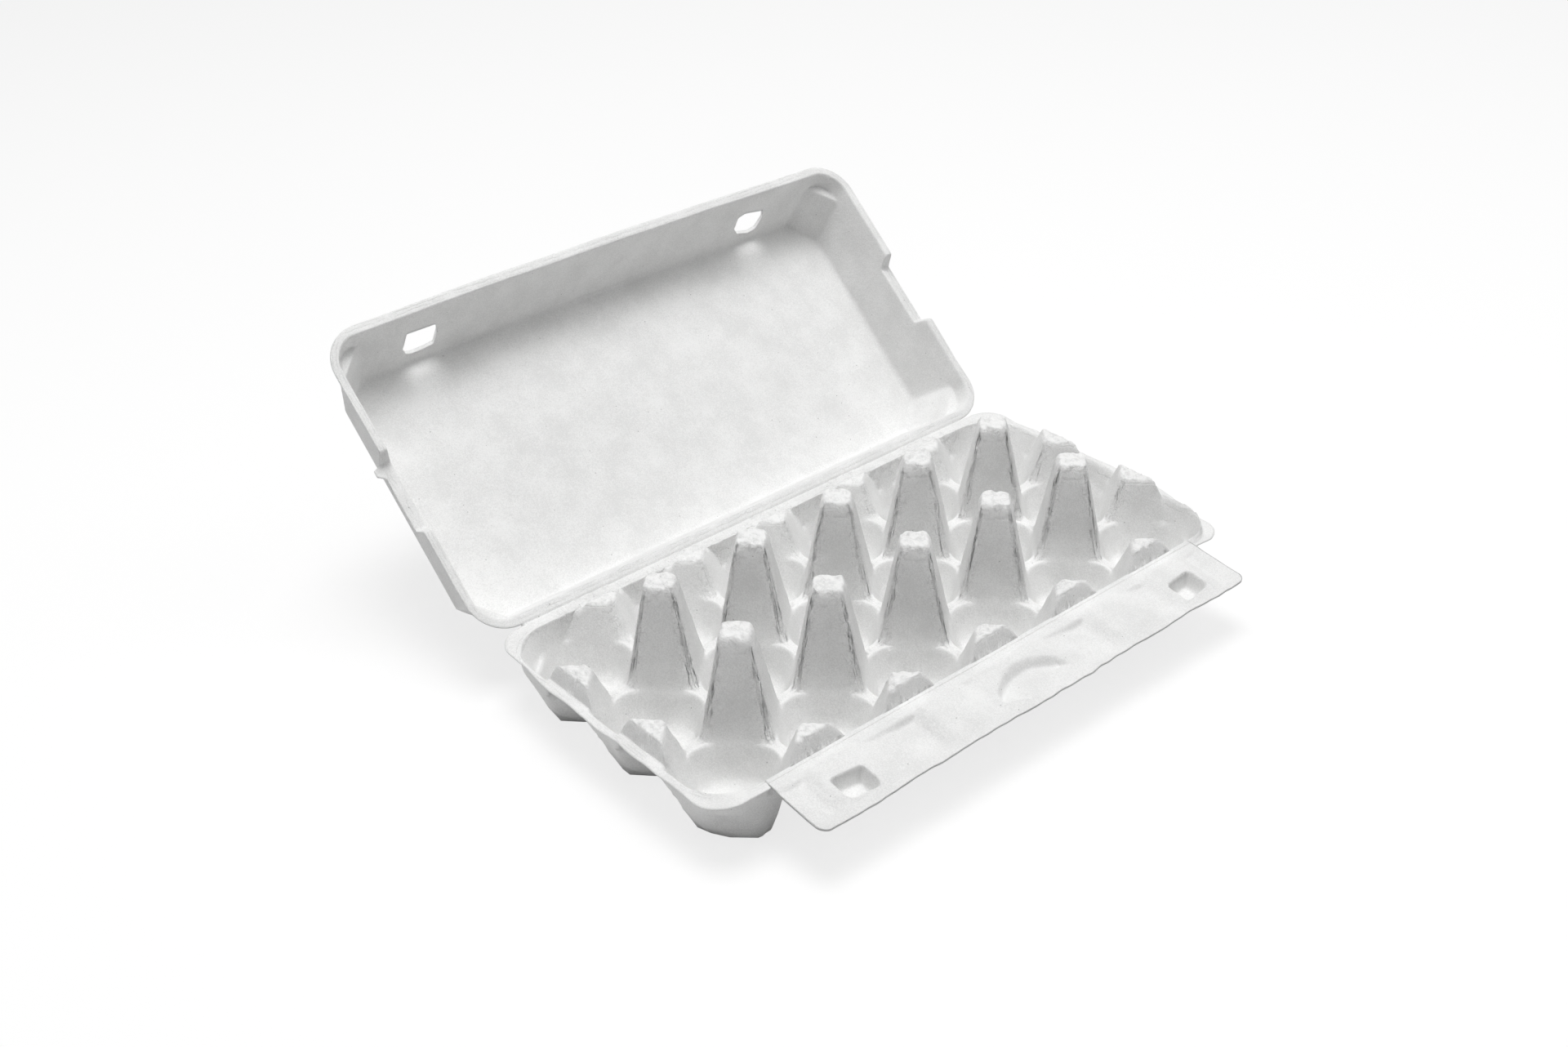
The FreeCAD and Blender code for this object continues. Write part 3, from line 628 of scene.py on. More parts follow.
# %% The tray's skin
behind_fold = cut[:-1, :-1] & cut[1:, :-1] & cut[1:, 1:] & cut[:-1, 1:]
blocks = (~behind_fold).reshape(behind_fold.shape[0] // 2, 2, behind_fold.shape[1] // 2, 2).any(axis=(1, 3))
keep = np.repeat(np.repeat(blocks, 2, axis=0), 2, axis=1)
tray = shell("tray_skin", upper, lower, keep, tray_place, masks, coarse=2)
wear(tray, "tray")

# %% [markdown]
# ## The lid
#
# The lid is a shallow box with a column in each corner that stiffens it, a shallow notch in each
# end wall, and two windows in the front wall for the flap's buttons. It could be a box with
# booleans, but the same way as the tray's keeps one kind of mesh: a height field over the rim
# plane, which says how deep each point lies. The depth is the smallest of what the walls, the
# corner columns and the floor allow. The grid lines crowd together where the walls stand, so that
# the windows can be left out as whole squares. The outer face uses the same grid, moved outwards.

# %% Sizes of the lid
LID_HALF = 145.2  # half length
LID_NEAR, LID_REACH = 0.45, 147.4  # from the fold to the skin's near and far edge
LID_MIDDLE = (LID_REACH + LID_NEAR) / 2
LID_CORNER, WALL_CORNER = 17.0, 13.0  # radius of the corners of the outline and of the walls
LID_DEPTH = 32.0
LID_SKIN = 1.7
WALL_END, WALL_BACK, WALL_FRONT = LID_HALF - 3.4, 4.4, LID_REACH - 4.0  # walls at the rim plane
WALL_MIDDLE = (WALL_FRONT + WALL_BACK) / 2
END_TAN, LOCK_TAN = math.tan(END_LEAN), math.tan(LOCK_LEAN)
COLUMN_LEG = 12.5  # how far a corner column cuts the corner
SHELF = 8.0  # depth of the shelf on a column
NOTCH = ([52.5, 55.7, 87.8, 91.0], [0, 7.2, 7.2, 0])  # depth of the rim at each distance from the fold
WINDOW_AT, WINDOW_HALF = 94.0, 8.8  # along X
WINDOW_DEEP, WINDOW_RISE = 20.0, 7.5  # depth of its middle, and half its height
LUG_LONG, LUG_AT, LUG_HALF = 3.2, 85.0, 2.6  # length, distance from the fold and half width of the lug
print("front wall is", round(LID_DEPTH * LOCK_TAN, 1), "mm further in at the floor")


# %% How deep the lid is
def lid_outline(x, v):
    """Distance outside the lid's outline, negative inside."""
    return rounded_box(x, v - LID_MIDDLE, LID_HALF, (LID_REACH - LID_NEAR) / 2, LID_CORNER)


def lid_depth(x, v, skin):
    """Depth of the lid's inner face (skin 0) or outer face under the rim plane.

    Each wall gives its distance inwards over the tangent of its lean. A column gives the same for
    a diagonal wall, but no less than its shelf. The floor dips slowly by up to 0.8 mm.
    """
    ax = np.abs(x)
    end = (WALL_END + skin - ax) / END_TAN
    back = (v - WALL_BACK + skin) / END_TAN
    front = (WALL_FRONT + skin - v) / LOCK_TAN
    half_v = WALL_MIDDLE - WALL_BACK + skin
    corners = -rounded_box(x, v - WALL_MIDDLE, WALL_END + skin, half_v, WALL_CORNER + skin) / END_TAN
    walls = soft_min(soft_min(soft_min(end, back, 1.5), front, 1.5), corners, 1.0)
    side = np.where(v > WALL_MIDDLE, WALL_FRONT + skin - v, v - WALL_BACK + skin)
    column = (WALL_END + skin - ax + side - COLUMN_LEG) / (END_TAN + LOCK_TAN)
    walls = soft_min(walls, soft_max(column, SHELF + skin, 1.0), 0.9)
    notch = bent(v, *NOTCH, 1.0) * np.clip((ax - 120.0) / 8.0, 0, 1)
    floor = LID_DEPTH + skin + 0.4 * (1 - ripples(x, v, 160.0, 21))
    thin = 0.5 * skin * np.clip((lid_outline(x, v) + 3.0) / 3.0, 0, 1)
    return soft_max(soft_min(walls, floor, 2.0), notch + skin - thin, 0.9)


middle = np.zeros(1)
print("depth at the middle", lid_depth(middle, middle + LID_MIDDLE, 0.0).round(2), "mm")


# %% Round corners for a square grid
def corner_turned(x, v, half, near, far, radius):
    """Makes the grid's square corners round: each ring of the corner square becomes an arc."""
    cx = half - radius
    cv_far, cv_near = far - radius, near + radius
    beyond = v > (near + far) / 2
    a = np.abs(x) - cx
    b = np.where(beyond, v - cv_far, cv_near - v)
    inside = (a > 0) & (b > 0)
    ring = np.maximum(np.maximum(a, b), 1e-9)
    angle = math.pi / 4 * np.minimum(a, b) / ring
    first, second = ring * np.cos(angle), ring * np.sin(angle)
    new_a = np.where(a >= b, first, second)
    new_b = np.where(a >= b, second, first)
    new_x = np.where(inside, np.sign(x) * (cx + new_a), x)
    new_v = np.where(inside, np.where(beyond, cv_far + new_b, cv_near - new_b), v)
    return new_x, new_v


far_corner = corner_turned(np.array(LID_HALF), np.array(LID_REACH), LID_HALF, LID_NEAR, LID_REACH, LID_CORNER)
print("the lid's far corner moves in to", np.round(far_corner, 1), "mm")

# %% [markdown]
# ### The lock windows
#
# The two windows are uneven holes in the pulp, and they differ. They could be cut by a boolean,
# which would leave ragged triangles round them. Here a window is eight corners, given as shares of
# its half width and half height, and the grid near it is drawn on to that outline along lines from
# its middle.

# %% Outline of a window
LEFT_WINDOW = [(1.0, -0.25), (0.92, 1.02), (-0.8, 0.98), (-1.0, 0.3), (-0.95, -0.78), (-0.35, -0.92),
               (0.38, -0.96), (0.74, -0.8)]
RIGHT_WINDOW = [(1.0, 0.03), (0.82, 0.82), (-0.56, 1.1), (-1.0, 0.86), (-1.0, -0.14), (-0.62, -0.72),
                (0.24, -1.0), (0.75, -0.78)]


def outline_reach(corners, angle):
    """Distance from the middle to a window's outline: to the nearest straight side in that direction."""
    a = np.array(corners)
    side = np.roll(a, -1, axis=0) - a
    normal = np.stack([side[:, 1], -side[:, 0]], axis=-1)
    normal /= np.linalg.norm(normal, axis=1, keepdims=True)
    far = np.abs((a * normal).sum(axis=1))
    normal *= np.sign((a * normal).sum(axis=1))[:, None]
    facing = np.cos(angle)[..., None] * normal[:, 0] + np.sin(angle)[..., None] * normal[:, 1]
    return (far / np.maximum(facing, 1e-3)).min(axis=-1)


def window_turned(x, v, wall):
    """Draws the grid near each lock window on to its outline, less and less up to two half sizes away."""
    centre_v, half_v = wall - WINDOW_DEEP * LOCK_TAN, WINDOW_RISE * LOCK_TAN
    p = (np.abs(x) - WINDOW_AT) / WINDOW_HALF
    q = (v - centre_v) / half_v
    ring = np.maximum(np.abs(p), np.abs(q))
    angle = np.arctan2(q, p)
    square = 1.0 / np.maximum(np.abs(np.cos(angle)), np.abs(np.sin(angle)))
    reach = np.where(x < 0, outline_reach(LEFT_WINDOW, angle), outline_reach(RIGHT_WINDOW, angle))
    share = np.clip((2.0 - ring) / 0.8, 0, 1) * (np.abs(x) > 70)
    scale = 1 + (reach / square - 1) * share
    return np.sign(x) * (WINDOW_AT + p * scale * WINDOW_HALF), centre_v + q * scale * half_v


window_reach = outline_reach(LEFT_WINDOW, np.zeros(1)) * WINDOW_HALF
print("left window reaches", window_reach.round(1), "mm from its middle towards the lid's end")


# %% The two faces of the lid
def lid_face(xs, vs, skin):
    """One face of the lid: the grid with round corners and drawn windows, at its depth.

    The free rim waves, the front edge bows, and a small lug sticks out beside the left notch.
    """
    x, v = np.meshgrid(xs, vs, indexing="ij")
    near_wall = (v > 130) & (v < WALL_FRONT + skin)
    wx, wv = window_turned(x, v, WALL_FRONT + skin)
    x, v = np.where(near_wall, wx, x), np.where(near_wall, wv, v)
    x, v = corner_turned(x, v, LID_HALF, LID_NEAR, LID_REACH, LID_CORNER)
    depth = lid_depth(x, v, skin)
    rim = np.clip(1 - depth / 14.0, 0, 1)
    bow = (0.9 - 2.0 * (x / LID_HALF) ** 2) * (v / LID_REACH) ** 2
    wave = WAVE * (ripples(x, v, 46.0, 12) - 1) * rim * np.clip(v / 30, 0, 1)
    lug = LUG_LONG * np.clip(LUG_HALF - np.abs(v - LUG_AT), 0, 1) * np.clip((-x - 142.4) / 2.0, 0, 1)
    return np.stack([x - lug, v + bow, wave - depth], axis=-1)


BACK_FOOT, FRONT_FOOT, END_FOOT = 11.8, 134.8, 134.4  # where the walls meet the floor
half_x = stretches(0.0, (80.0, 46), (85.2, 5), (102.8, 18), (108.0, 5), (120.0, 8), (END_FOOT, 12),
                   (WALL_END, 24), (LID_HALF, 6))
lid_x = np.concatenate([-half_x[:0:-1], half_x])
lid_v = stretches(LID_NEAR, (WALL_BACK, 5), (BACK_FOOT, 17), (26.0, 9), (49.0, 15), (60.0, 16), (83.0, 15),
                  (94.0, 16), (122.0, 18), (FRONT_FOOT, 12), (136.03, 3), (140.05, 12), (WALL_FRONT, 10),
                  (LID_REACH, 6))
out_x = ([0, 120, END_FOOT, WALL_END, LID_HALF],
         [0, 120, END_FOOT + LID_SKIN, WALL_END + LID_SKIN, LID_HALF])
out_v = ([LID_NEAR, WALL_BACK, BACK_FOOT, 30, 122, FRONT_FOOT, WALL_FRONT, LID_REACH],
         [LID_NEAR, WALL_BACK - LID_SKIN, BACK_FOOT - LID_SKIN, 30,
          122, FRONT_FOOT + LID_SKIN, WALL_FRONT + LID_SKIN, LID_REACH])
outer_x, outer_v = np.sign(lid_x) * np.interp(np.abs(lid_x), *out_x), np.interp(lid_v, *out_v)
inner_face = lid_face(lid_x, lid_v, 0.0)
outer_face = lid_face(outer_x, outer_v, LID_SKIN)
print("lid grid", inner_face.shape, "deepest", -outer_face[..., 2].min().round(2), "mm")

# %% The lid's skin
mid_x, mid_v = (lid_x[1:] + lid_x[:-1]) / 2, (lid_v[1:] + lid_v[:-1]) / 2
mid_depth = (WALL_FRONT - mid_v) / LOCK_TAN
in_x, in_v = np.abs(np.abs(mid_x) - WINDOW_AT) < WINDOW_HALF, np.abs(mid_depth - WINDOW_DEEP) < WINDOW_RISE
keep = ~(in_x[:, None] & in_v[None, :])
x, v = inner_face[..., 0], inner_face[..., 1]
along_rim = np.clip(1 + lid_outline(x, v) / 4.2, 0, 1) * np.clip(v / 20.0, 0, 1)
by_hinge = 0.6 * np.clip(1 - np.abs(v - 3.2) / 2.8, 0, 1) * (np.abs(x) < 128)
edge = np.maximum(along_rim, by_hinge)
masks = {"worn": 0 * edge, "cap": 0 * edge, "edge": edge}
lid = shell("lid_skin", inner_face, outer_face, keep, lid_place, masks)
wear(lid, "lid")

# %% [markdown]
# ## The lock flap
#
# A strip whose relief stiffens it: two lock buttons sunk into raised pads, two plain raised pads,
# and a thumb pad with a scoop. Towards the fold a flat band is left. Each pad could be modelled by
# itself. As they all lie in one row, one graph along the flap gives all the heights, a window
# across the flap fades them out, and the buttons and the scoop are taken out of that.

# %% Sizes of the flap
FLAP_REACH = 32.3  # from the hinge to the free edge
FLAP_SKIN = 1.3
FLAP_CORNER = 4.5
AXIS_RISE = 0.15  # the hinge lies this much above the flap's own plane
BUTTON_AT, BUTTON_DEEP = 20.8, 7.0  # from the hinge to a button's middle, and its depth
BUTTON_X, BUTTON_E, BUTTON_CORNER = 7.6, 5.9, 2.4  # half sizes and corner of its mouth
SCOOP_NEAR, SCOOP_FAR = 10.2, 29.5  # from the hinge to the scoop's two arcs, at the flap's middle
SCOOP_DEEP, SCOOP_STEEP, SCOOP_HALF = 3.5, 4.8, 20.0  # depth, length of the steep side, half length
RELIEF = [(-119, -0.5), (-113, -1.3), (-109, -1.5), (-103, 1.3), (-84, 1.3), (-76, -0.6), (-66, -1.3),
          (-58, -2.3), (-53, -2.4), (-47, 1.2), (-31, 1.0), (-22, -1.1), (-15, 0.9), (15, 1.0), (22, -0.9),
          (32, -1.4), (38, -2.2), (42, -2.3), (48, 1.2), (64, 0.9), (74, -1.0), (80, -1.5), (86, 1.3),
          (104, 1.3), (109, -0.8), (118, -0.3)]  # (distance along the flap, height)
print("the relief is", max(z for _, z in RELIEF) - min(z for _, z in RELIEF), "mm high")


# %% Relief of the flap
def scoop_depth(x, e):
    """Hollow of the thumb pad between two arcs, steep at the near arc and slowly rising to the far one."""
    near_arc = SCOOP_NEAR + 5.6 * (x / 15.0) ** 2
    far_arc = SCOOP_FAR - 5.5 * (x / 18.0) ** 2
    width = np.maximum(far_arc - near_arc, 0.1)
    inward = np.clip((e - near_arc) / SCOOP_STEEP, 0, 1)
    outward = np.clip((far_arc - e) / np.maximum(width - SCOOP_STEEP, 0.1), 0, 1)
    open_here = np.clip((width - 4.0) / 5.0, 0, 1) * (np.abs(x) < SCOOP_HALF)
    return np.maximum(SCOOP_DEEP * soft_min(smooth(inward), outward, 0.25) * open_here, 0)


def button_depth(x, e, skin):
    """Pocket of a button: its sides fall 8 mm over 2.3 mm, and its floor is BUTTON_DEEP down."""
    bx, be = np.abs(x) - 2 * PITCH, e - BUTTON_AT
    mouth = rounded_box(bx, be + 0.12 * bx, BUTTON_X + skin, BUTTON_E + skin, BUTTON_CORNER + skin)
    pocket = soft_min(np.clip(-mouth / (2.3 / 8.0), 0, 8.0), BUTTON_DEEP, 2.0)
    return np.where(mouth < 1.0, np.maximum(pocket, 0), 0)


def flap_relief(x, e, skin):
    """Height of the flap over its own plane, e from its hinge axis. skin 0 is the upper face."""
    along = bent(x, *zip(*RELIEF), 2.4)
    start = 5.0 - 0.9 * np.clip(along, -1.6, 1.4) + 0.3 * np.cos(x / 6.3)
    near = np.clip((e - start) / 2.4, 0, 1)
    far = np.clip((31.2 - e) / 9.0, 0, 1)
    return along * smooth(near) * smooth(far) - scoop_depth(x, e) - button_depth(x, e, skin)


spot = np.array([2 * PITCH])
print("a button's floor is at", flap_relief(spot, np.array([BUTTON_AT]), 0.0).round(2), "mm")


# %% The two faces of the flap
def flap_face(xs, es, skin, drop):
    """One face of the flap as a grid of points in the flap's frame.

    The flap sags in slow ripples that grow with the square of the distance from the hinge, and its
    free edge is frayed by two ripples.
    """
    x, e = np.meshgrid(xs, es, indexing="ij")
    x, e = corner_turned(x, e, FLAP_HALF, -99.0, FLAP_REACH, FLAP_CORNER)
    lift = flap_relief(x, e, skin)
    sag = 0.7 * ripples(x, 0 * x, 110.0, 33) * (e / FLAP_REACH) ** 2
    waves = 0.35 * ripples(x, 0 * e, 34.0, 31) + 0.12 * ripples(x, e, 9.0, 32)
    fringe = waves * np.clip((e - 29.0) / 3.0, 0, 1)
    outline = rounded_box(x, e, FLAP_HALF, FLAP_REACH, FLAP_CORNER)
    thin = drop * 0.45 * np.clip((outline + 2.5) / 2.5, 0, 1)
    return np.stack([x, -e - fringe, lift + sag - AXIS_RISE - drop + thin], axis=-1)


half_x = stretches(0.0, (24.0, 34), (44.0, 16), (52.0, 16), (84.6, 32), (88.6, 10), (99.4, 12),
                   (103.4, 10), (112.0, 12), (FLAP_HALF, 9))
flap_x = np.concatenate([-half_x[:0:-1], half_x])
flap_e = stretches(1.5, (3.0, 2), (8.6, 11), (13.9, 8), (17.2, 9), (24.4, 9), (27.7, 9), (FLAP_REACH, 8))
grow_x = ([0, 84.6, 86.1, 88.6, 94, 99.4, 101.9, 103.4, 120],
          [0, 83.6, 85.1, 87.6, 94, 100.4, 102.9, 104.4, 120])
grow_e = ([0, 10, 14.7, 17.0, 20.8, 24.6, 26.9, 32.3], [0, 10, 13.7, 16.0, 20.8, 25.6, 27.9, 32.3])
under_x = np.sign(flap_x) * np.interp(np.abs(flap_x), *grow_x)
flap_upper = flap_face(flap_x, flap_e, 0.0, 0.0)
flap_lower = flap_face(under_x, np.interp(flap_e, *grow_e), 1.0, FLAP_SKIN)
print("flap grid", flap_upper.shape)

# %% The flap's skin
keep = np.ones((len(flap_x) - 1, len(flap_e) - 1), bool)
from_button_x, from_button_e = np.abs(flap_upper[..., 0]) - 2 * PITCH, -flap_upper[..., 1] - BUTTON_AT
mouth = rounded_box(from_button_x, from_button_e, 7.9, 6.1, 3.0)
worn = np.clip(1 - np.abs(mouth) / 2.0, 0, 1) * 0.25
masks = {"worn": worn, "cap": 0 * worn, "edge": 0 * worn}
flap = shell("lock_flap_skin", flap_upper, flap_lower, keep, flap_place, masks)
wear(flap, "lock_flap")

# %% [markdown]
# ## The two folds
#
# At a fold the pulp is pressed thin and never parted. A gap would show there between the bodies, so
# a narrow strip joins the rim to the lid, and another joins it to the flap. Each strip starts on one
# body at one side, ends on the other body at the other side, and bends in between.


# %% A fold
def fold(name, xs, first, last, dip, thickness):
    """Strip between two lines across the fold, pressed down by dip times the square of a half sine."""
    s = np.linspace(0, 1, 9)
    first, last = np.array(first), np.array(last)
    yz = first + (last - first) * s[:, None]
    yz[:, 1] -= dip * np.sin(math.pi * s) ** 2
    x = np.repeat(xs[:, None], len(s), axis=1)
    top = np.stack([x, np.tile(yz[:, 0], (len(xs), 1)), np.tile(yz[:, 1], (len(xs), 1))], axis=-1)
    if first[0] > last[0]:  # so that the upper face looks up
        top = top[:, ::-1]
    under = top - np.array([0.0, 0.0, thickness])
    keep = np.ones((len(xs) - 1, len(s) - 1), bool)
    mark = 0 * top[..., 0]
    masks = {"worn": mark, "cap": mark, "edge": mark}
    strip = shell(name, top, under, keep, tray_place, masks, bulge=0.0)
    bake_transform(strip)
    return strip


def seen_from_tray(point):
    """Y and Z in the tray's frame of a point in the carton's frame."""
    return (point - np.array([0.0, TRAY_Y, 0.0]))[1:]


lid_line = seen_from_tray(lid_place(np.array([0.0, 0.6, -0.02])))
lid_fold = fold("lid_fold", stretches(-128.0, (128.0, 128)), (75.2, RIM - 0.02), lid_line, 0.45, 1.4)
flap_line = seen_from_tray(flap_place(np.array([0.0, -1.6, -AXIS_RISE])))
flap_fold = fold("flap_fold", stretches(-FLAP_HALF, (FLAP_HALF, 120)), (-FOLD_START + 0.1, RIM - 0.02),
                 flap_line, 0.0, 1.2)

# %% [markdown]
# ## White moulded pulp
#
# Pulp is a felt of short paper fibres, white and quite matt. Close up it has a fine nap and shallow
# hollows, a few dark flecks, and thin dark wrinkles where the sheet bends round an edge. A
# scanned picture would need unfolding and would show its repeats. Noises need neither: each effect
# is a node group that puts out a height or a mask, and everything is read from Object coordinates
# and from the three masks on the points, so nothing slides when the lid turns.


# %% Helpers for nodes
def group(name, inputs, output):
    """Empty node group with named sockets. Returns the tree, its given sockets and its output's socket."""
    tree = bpy.data.node_groups.new(name, "ShaderNodeTree")
    for key, sort, value in inputs:
        made = tree.interface.new_socket(key, in_out="INPUT", socket_type=sort)
        if value is not None:
            made.default_value = value
    tree.interface.new_socket(output, in_out="OUTPUT", socket_type="NodeSocketFloat")
    return tree, tree.nodes.new("NodeGroupInput").outputs, tree.nodes.new("NodeGroupOutput").inputs[output]


def noise(tree, vector, size, detail=3.0, rough=0.55, warp=0.0):
    """Noise whose grains are about size millimetres. Returns its value socket."""
    made = tree.nodes.new("ShaderNodeTexNoise")
    made.inputs["Scale"].default_value = 1.0 / (size * MM)
    made.inputs["Detail"].default_value = detail
    made.inputs["Roughness"].default_value = rough
    made.inputs["Distortion"].default_value = warp
    tree.links.new(vector, made.inputs["Vector"])
    return made.outputs["Fac"]


def fill(tree, socket, value):
    """Sets a socket to a number or a colour, or links another socket to it."""
    if isinstance(value, (int, float, tuple)):
        socket.default_value = value
    elif value is not None:
        tree.links.new(value, socket)


def calc(tree, kind, a, b=None, c=None, clamp=False):
    """Math node of one kind. Each of a, b and c is a number or a socket."""
    made = tree.nodes.new("ShaderNodeMath")
    made.operation = kind
    made.use_clamp = clamp
    for socket, value in zip(made.inputs, (a, b, c)):
        fill(tree, socket, value)
    return made.outputs["Value"]


def between(tree, value, low, high, to_low=0.0, to_high=1.0):
    """Smooth step of value from low to high."""
    made = tree.nodes.new("ShaderNodeMapRange")
    made.interpolation_type = "SMOOTHSTEP"
    tree.links.new(value, made.inputs["Value"])
    for key, number in zip(("From Min", "From Max", "To Min", "To Max"), (low, high, to_low, to_high)):
        made.inputs[key].default_value = number
    return made.outputs["Result"]


def mixed(tree, factor, first, second):
    """Colour between two colours or sockets. Factor 0 gives the first."""
    made = tree.nodes.new("ShaderNodeMix")
    made.data_type = "RGBA"
    tree.links.new(factor, made.inputs["Factor"])
    fill(tree, made.inputs["A"], first)
    fill(tree, made.inputs["B"], second)
    return made.outputs["Result"]


POINT = ("Vector", "NodeSocketVector", None)
print("node helpers:", [helper.__name__ for helper in (group, noise, fill, calc, between, mixed)])

# %% [markdown]
# ### Nap and flecks
#
# The nap is what a finger feels: fine fibres, coarser lumps and shallow hollows. Three noises of
# those sizes are added as a height. Flecks are sparse dark specks in the pulp. They could be drawn
# one by one. A Voronoi pattern scatters them: each is the middle of a cell, and the cell's own
# random colour says which few are used.


# %% Nap and flecks
def nap_group():
    """Height of the felt: 0.6 of fine fibres, 0.8 of coarser lumps and 1.6 of shallow hollows."""
    tree, given, result = group("pulp nap", [POINT], "Height")
    fibre = noise(tree, given["Vector"], 0.7, 4.0, 0.7, 1.2)
    lumps = noise(tree, given["Vector"], 2.6, 3.0, 0.6, 0.4)
    hollows = noise(tree, given["Vector"], 11.0, 2.0, 0.5)
    total = calc(tree, "MULTIPLY_ADD", fibre, 0.6, calc(tree, "MULTIPLY", lumps, 0.8))
    tree.links.new(calc(tree, "MULTIPLY_ADD", hollows, 1.6, total), result)
    return tree


def fleck_group():
    """Mask of sparse tiny specks: near the middle of a cell, where the cell's red is above 0.8."""
    tree, given, result = group("pulp flecks", [POINT], "Mask")
    cells = tree.nodes.new("ShaderNodeTexVoronoi")
    cells.inputs["Scale"].default_value = 1.0 / (3.4 * MM)
    tree.links.new(given["Vector"], cells.inputs["Vector"])
    split = tree.nodes.new("ShaderNodeSeparateColor")
    tree.links.new(cells.outputs["Color"], split.inputs["Color"])
    chosen = between(tree, split.outputs["Red"], 0.8, 0.9)
    speck = between(tree, cells.outputs["Distance"], 0.05, 0.1, 1.0, 0.0)
    tree.links.new(calc(tree, "MULTIPLY", chosen, speck), result)
    return tree


nap, flecks = nap_group(), fleck_group()
print(nap.name, len(nap.nodes), "nodes,", flecks.name, len(flecks.nodes), "nodes")

# %% [markdown]
# ### Lines in the pulp
#
# Two kinds of line show. Along a rim the layers of the sheet part in thin lines that follow the
# edge, so these are drawn where the mask `edge` passes a level, swayed by a noise. The same kind
# of line, drawn where the mask `cap` passes a level, puts painted shade under the edge of each cap.
# On the posts short wrinkles run all ways, so these are the borders between the cells of a Voronoi
# pattern. Both are broken by a second noise, because a real crease comes and goes.


# %% Lines and wrinkles
def edge_line_group():
    """Mask of a thin broken line along a mask's edge: 1 less the distance to a level over the width."""
    inputs = [POINT, ("Mask", "NodeSocketFloat", 0.0), ("Level", "NodeSocketFloat", 0.5),
              ("Width", "NodeSocketFloat", 0.06)]
    tree, given, result = group("pulp edge line", inputs, "Line")
    sway = noise(tree, given["Vector"], 5.0, 3.0, 0.6, 0.6)
    gaps = noise(tree, given["Vector"], 7.0, 2.0, 0.5)
    swayed = calc(tree, "ADD", given["Mask"], calc(tree, "MULTIPLY_ADD", sway, 0.5, -0.25))
    away = calc(tree, "ABSOLUTE", calc(tree, "SUBTRACT", swayed, given["Level"]))
    line = calc(tree, "SUBTRACT", 1.0, calc(tree, "DIVIDE", away, given["Width"]), clamp=True)
    tree.links.new(calc(tree, "MULTIPLY", line, between(tree, gaps, 0.4, 0.55)), result)
    return tree


def wrinkle_group():
    """Mask of thin wandering wrinkles: the borders of a Voronoi pattern's cells, drawn out and swayed."""
    size, sway_size = 2.0 * MM, 2.2 * MM
    inputs = [POINT, ("Drawn out", "NodeSocketVector", None), ("Width", "NodeSocketFloat", 0.1)]
    tree, given, result = group("pulp wrinkles", inputs, "Line")
    scaled = tree.nodes.new("ShaderNodeVectorMath")
    scaled.operation = "MULTIPLY"
    tree.links.new(given["Vector"], scaled.inputs[0])
    tree.links.new(given["Drawn out"], scaled.inputs[1])
    sway = tree.nodes.new("ShaderNodeTexNoise")
    sway.inputs["Scale"].default_value = 1.0 / sway_size
    sway.inputs["Detail"].default_value = 2.0
    tree.links.new(given["Vector"], sway.inputs["Vector"])
    swayed = tree.nodes.new("ShaderNodeVectorMath")
    swayed.operation = "MULTIPLY_ADD"
    tree.links.new(sway.outputs["Color"], swayed.inputs[0])
    swayed.inputs[1].default_value = (sway_size, sway_size, sway_size)
    tree.links.new(scaled.outputs["Vector"], swayed.inputs[2])
    cells = tree.nodes.new("ShaderNodeTexVoronoi")
    cells.feature = "DISTANCE_TO_EDGE"
    cells.inputs["Scale"].default_value = 1.0 / size
    tree.links.new(swayed.outputs["Vector"], cells.inputs["Vector"])
    line = calc(tree, "DIVIDE", cells.outputs["Distance"], given["Width"])
    line = calc(tree, "SUBTRACT", 1.0, line, clamp=True)
    gaps = noise(tree, given["Vector"], 3.0, 2.0, 0.5)
    tree.links.new(calc(tree, "MULTIPLY", line, between(tree, gaps, 0.42, 0.58)), result)
    return tree


edge_line, wrinkle = edge_line_group(), wrinkle_group()
print(edge_line.name, len(edge_line.nodes), "nodes,", wrinkle.name, len(wrinkle.nodes), "nodes")

# %% [markdown]
# ### The pulp itself
#
# Colour and height are made apart from each other. The colour is a mottled white, lightened on the
# caps as a painted highlight, darkened along the lines, of which the one under each cap is painted
# shade, and at the flecks. The height is the nap, a crumple where the mask says so, and a groove
# under each line. Both go into one rough shader with little gloss.

# %% Colour and height of the pulp
DULL_WHITE, CLEAR_WHITE = (0.77, 0.77, 0.765, 1), (0.88, 0.88, 0.875, 1)
LINE_GREY, FLECK_GREY = (0.30, 0.30, 0.30, 1), (0.22, 0.21, 0.20, 1)


def use(tree, kind, settings):
    """Group node with its sockets linked or set. Returns its only output."""
    node = tree.nodes.new("ShaderNodeGroup")
    node.node_tree = kind
    for key, value in settings.items():
        fill(tree, node.inputs[key], value)
    return node.outputs[0]


def mask(tree, name):
    """A value that is stored on the points."""
    node = tree.nodes.new("ShaderNodeAttribute")
    node.attribute_name = name
    return node.outputs["Fac"]


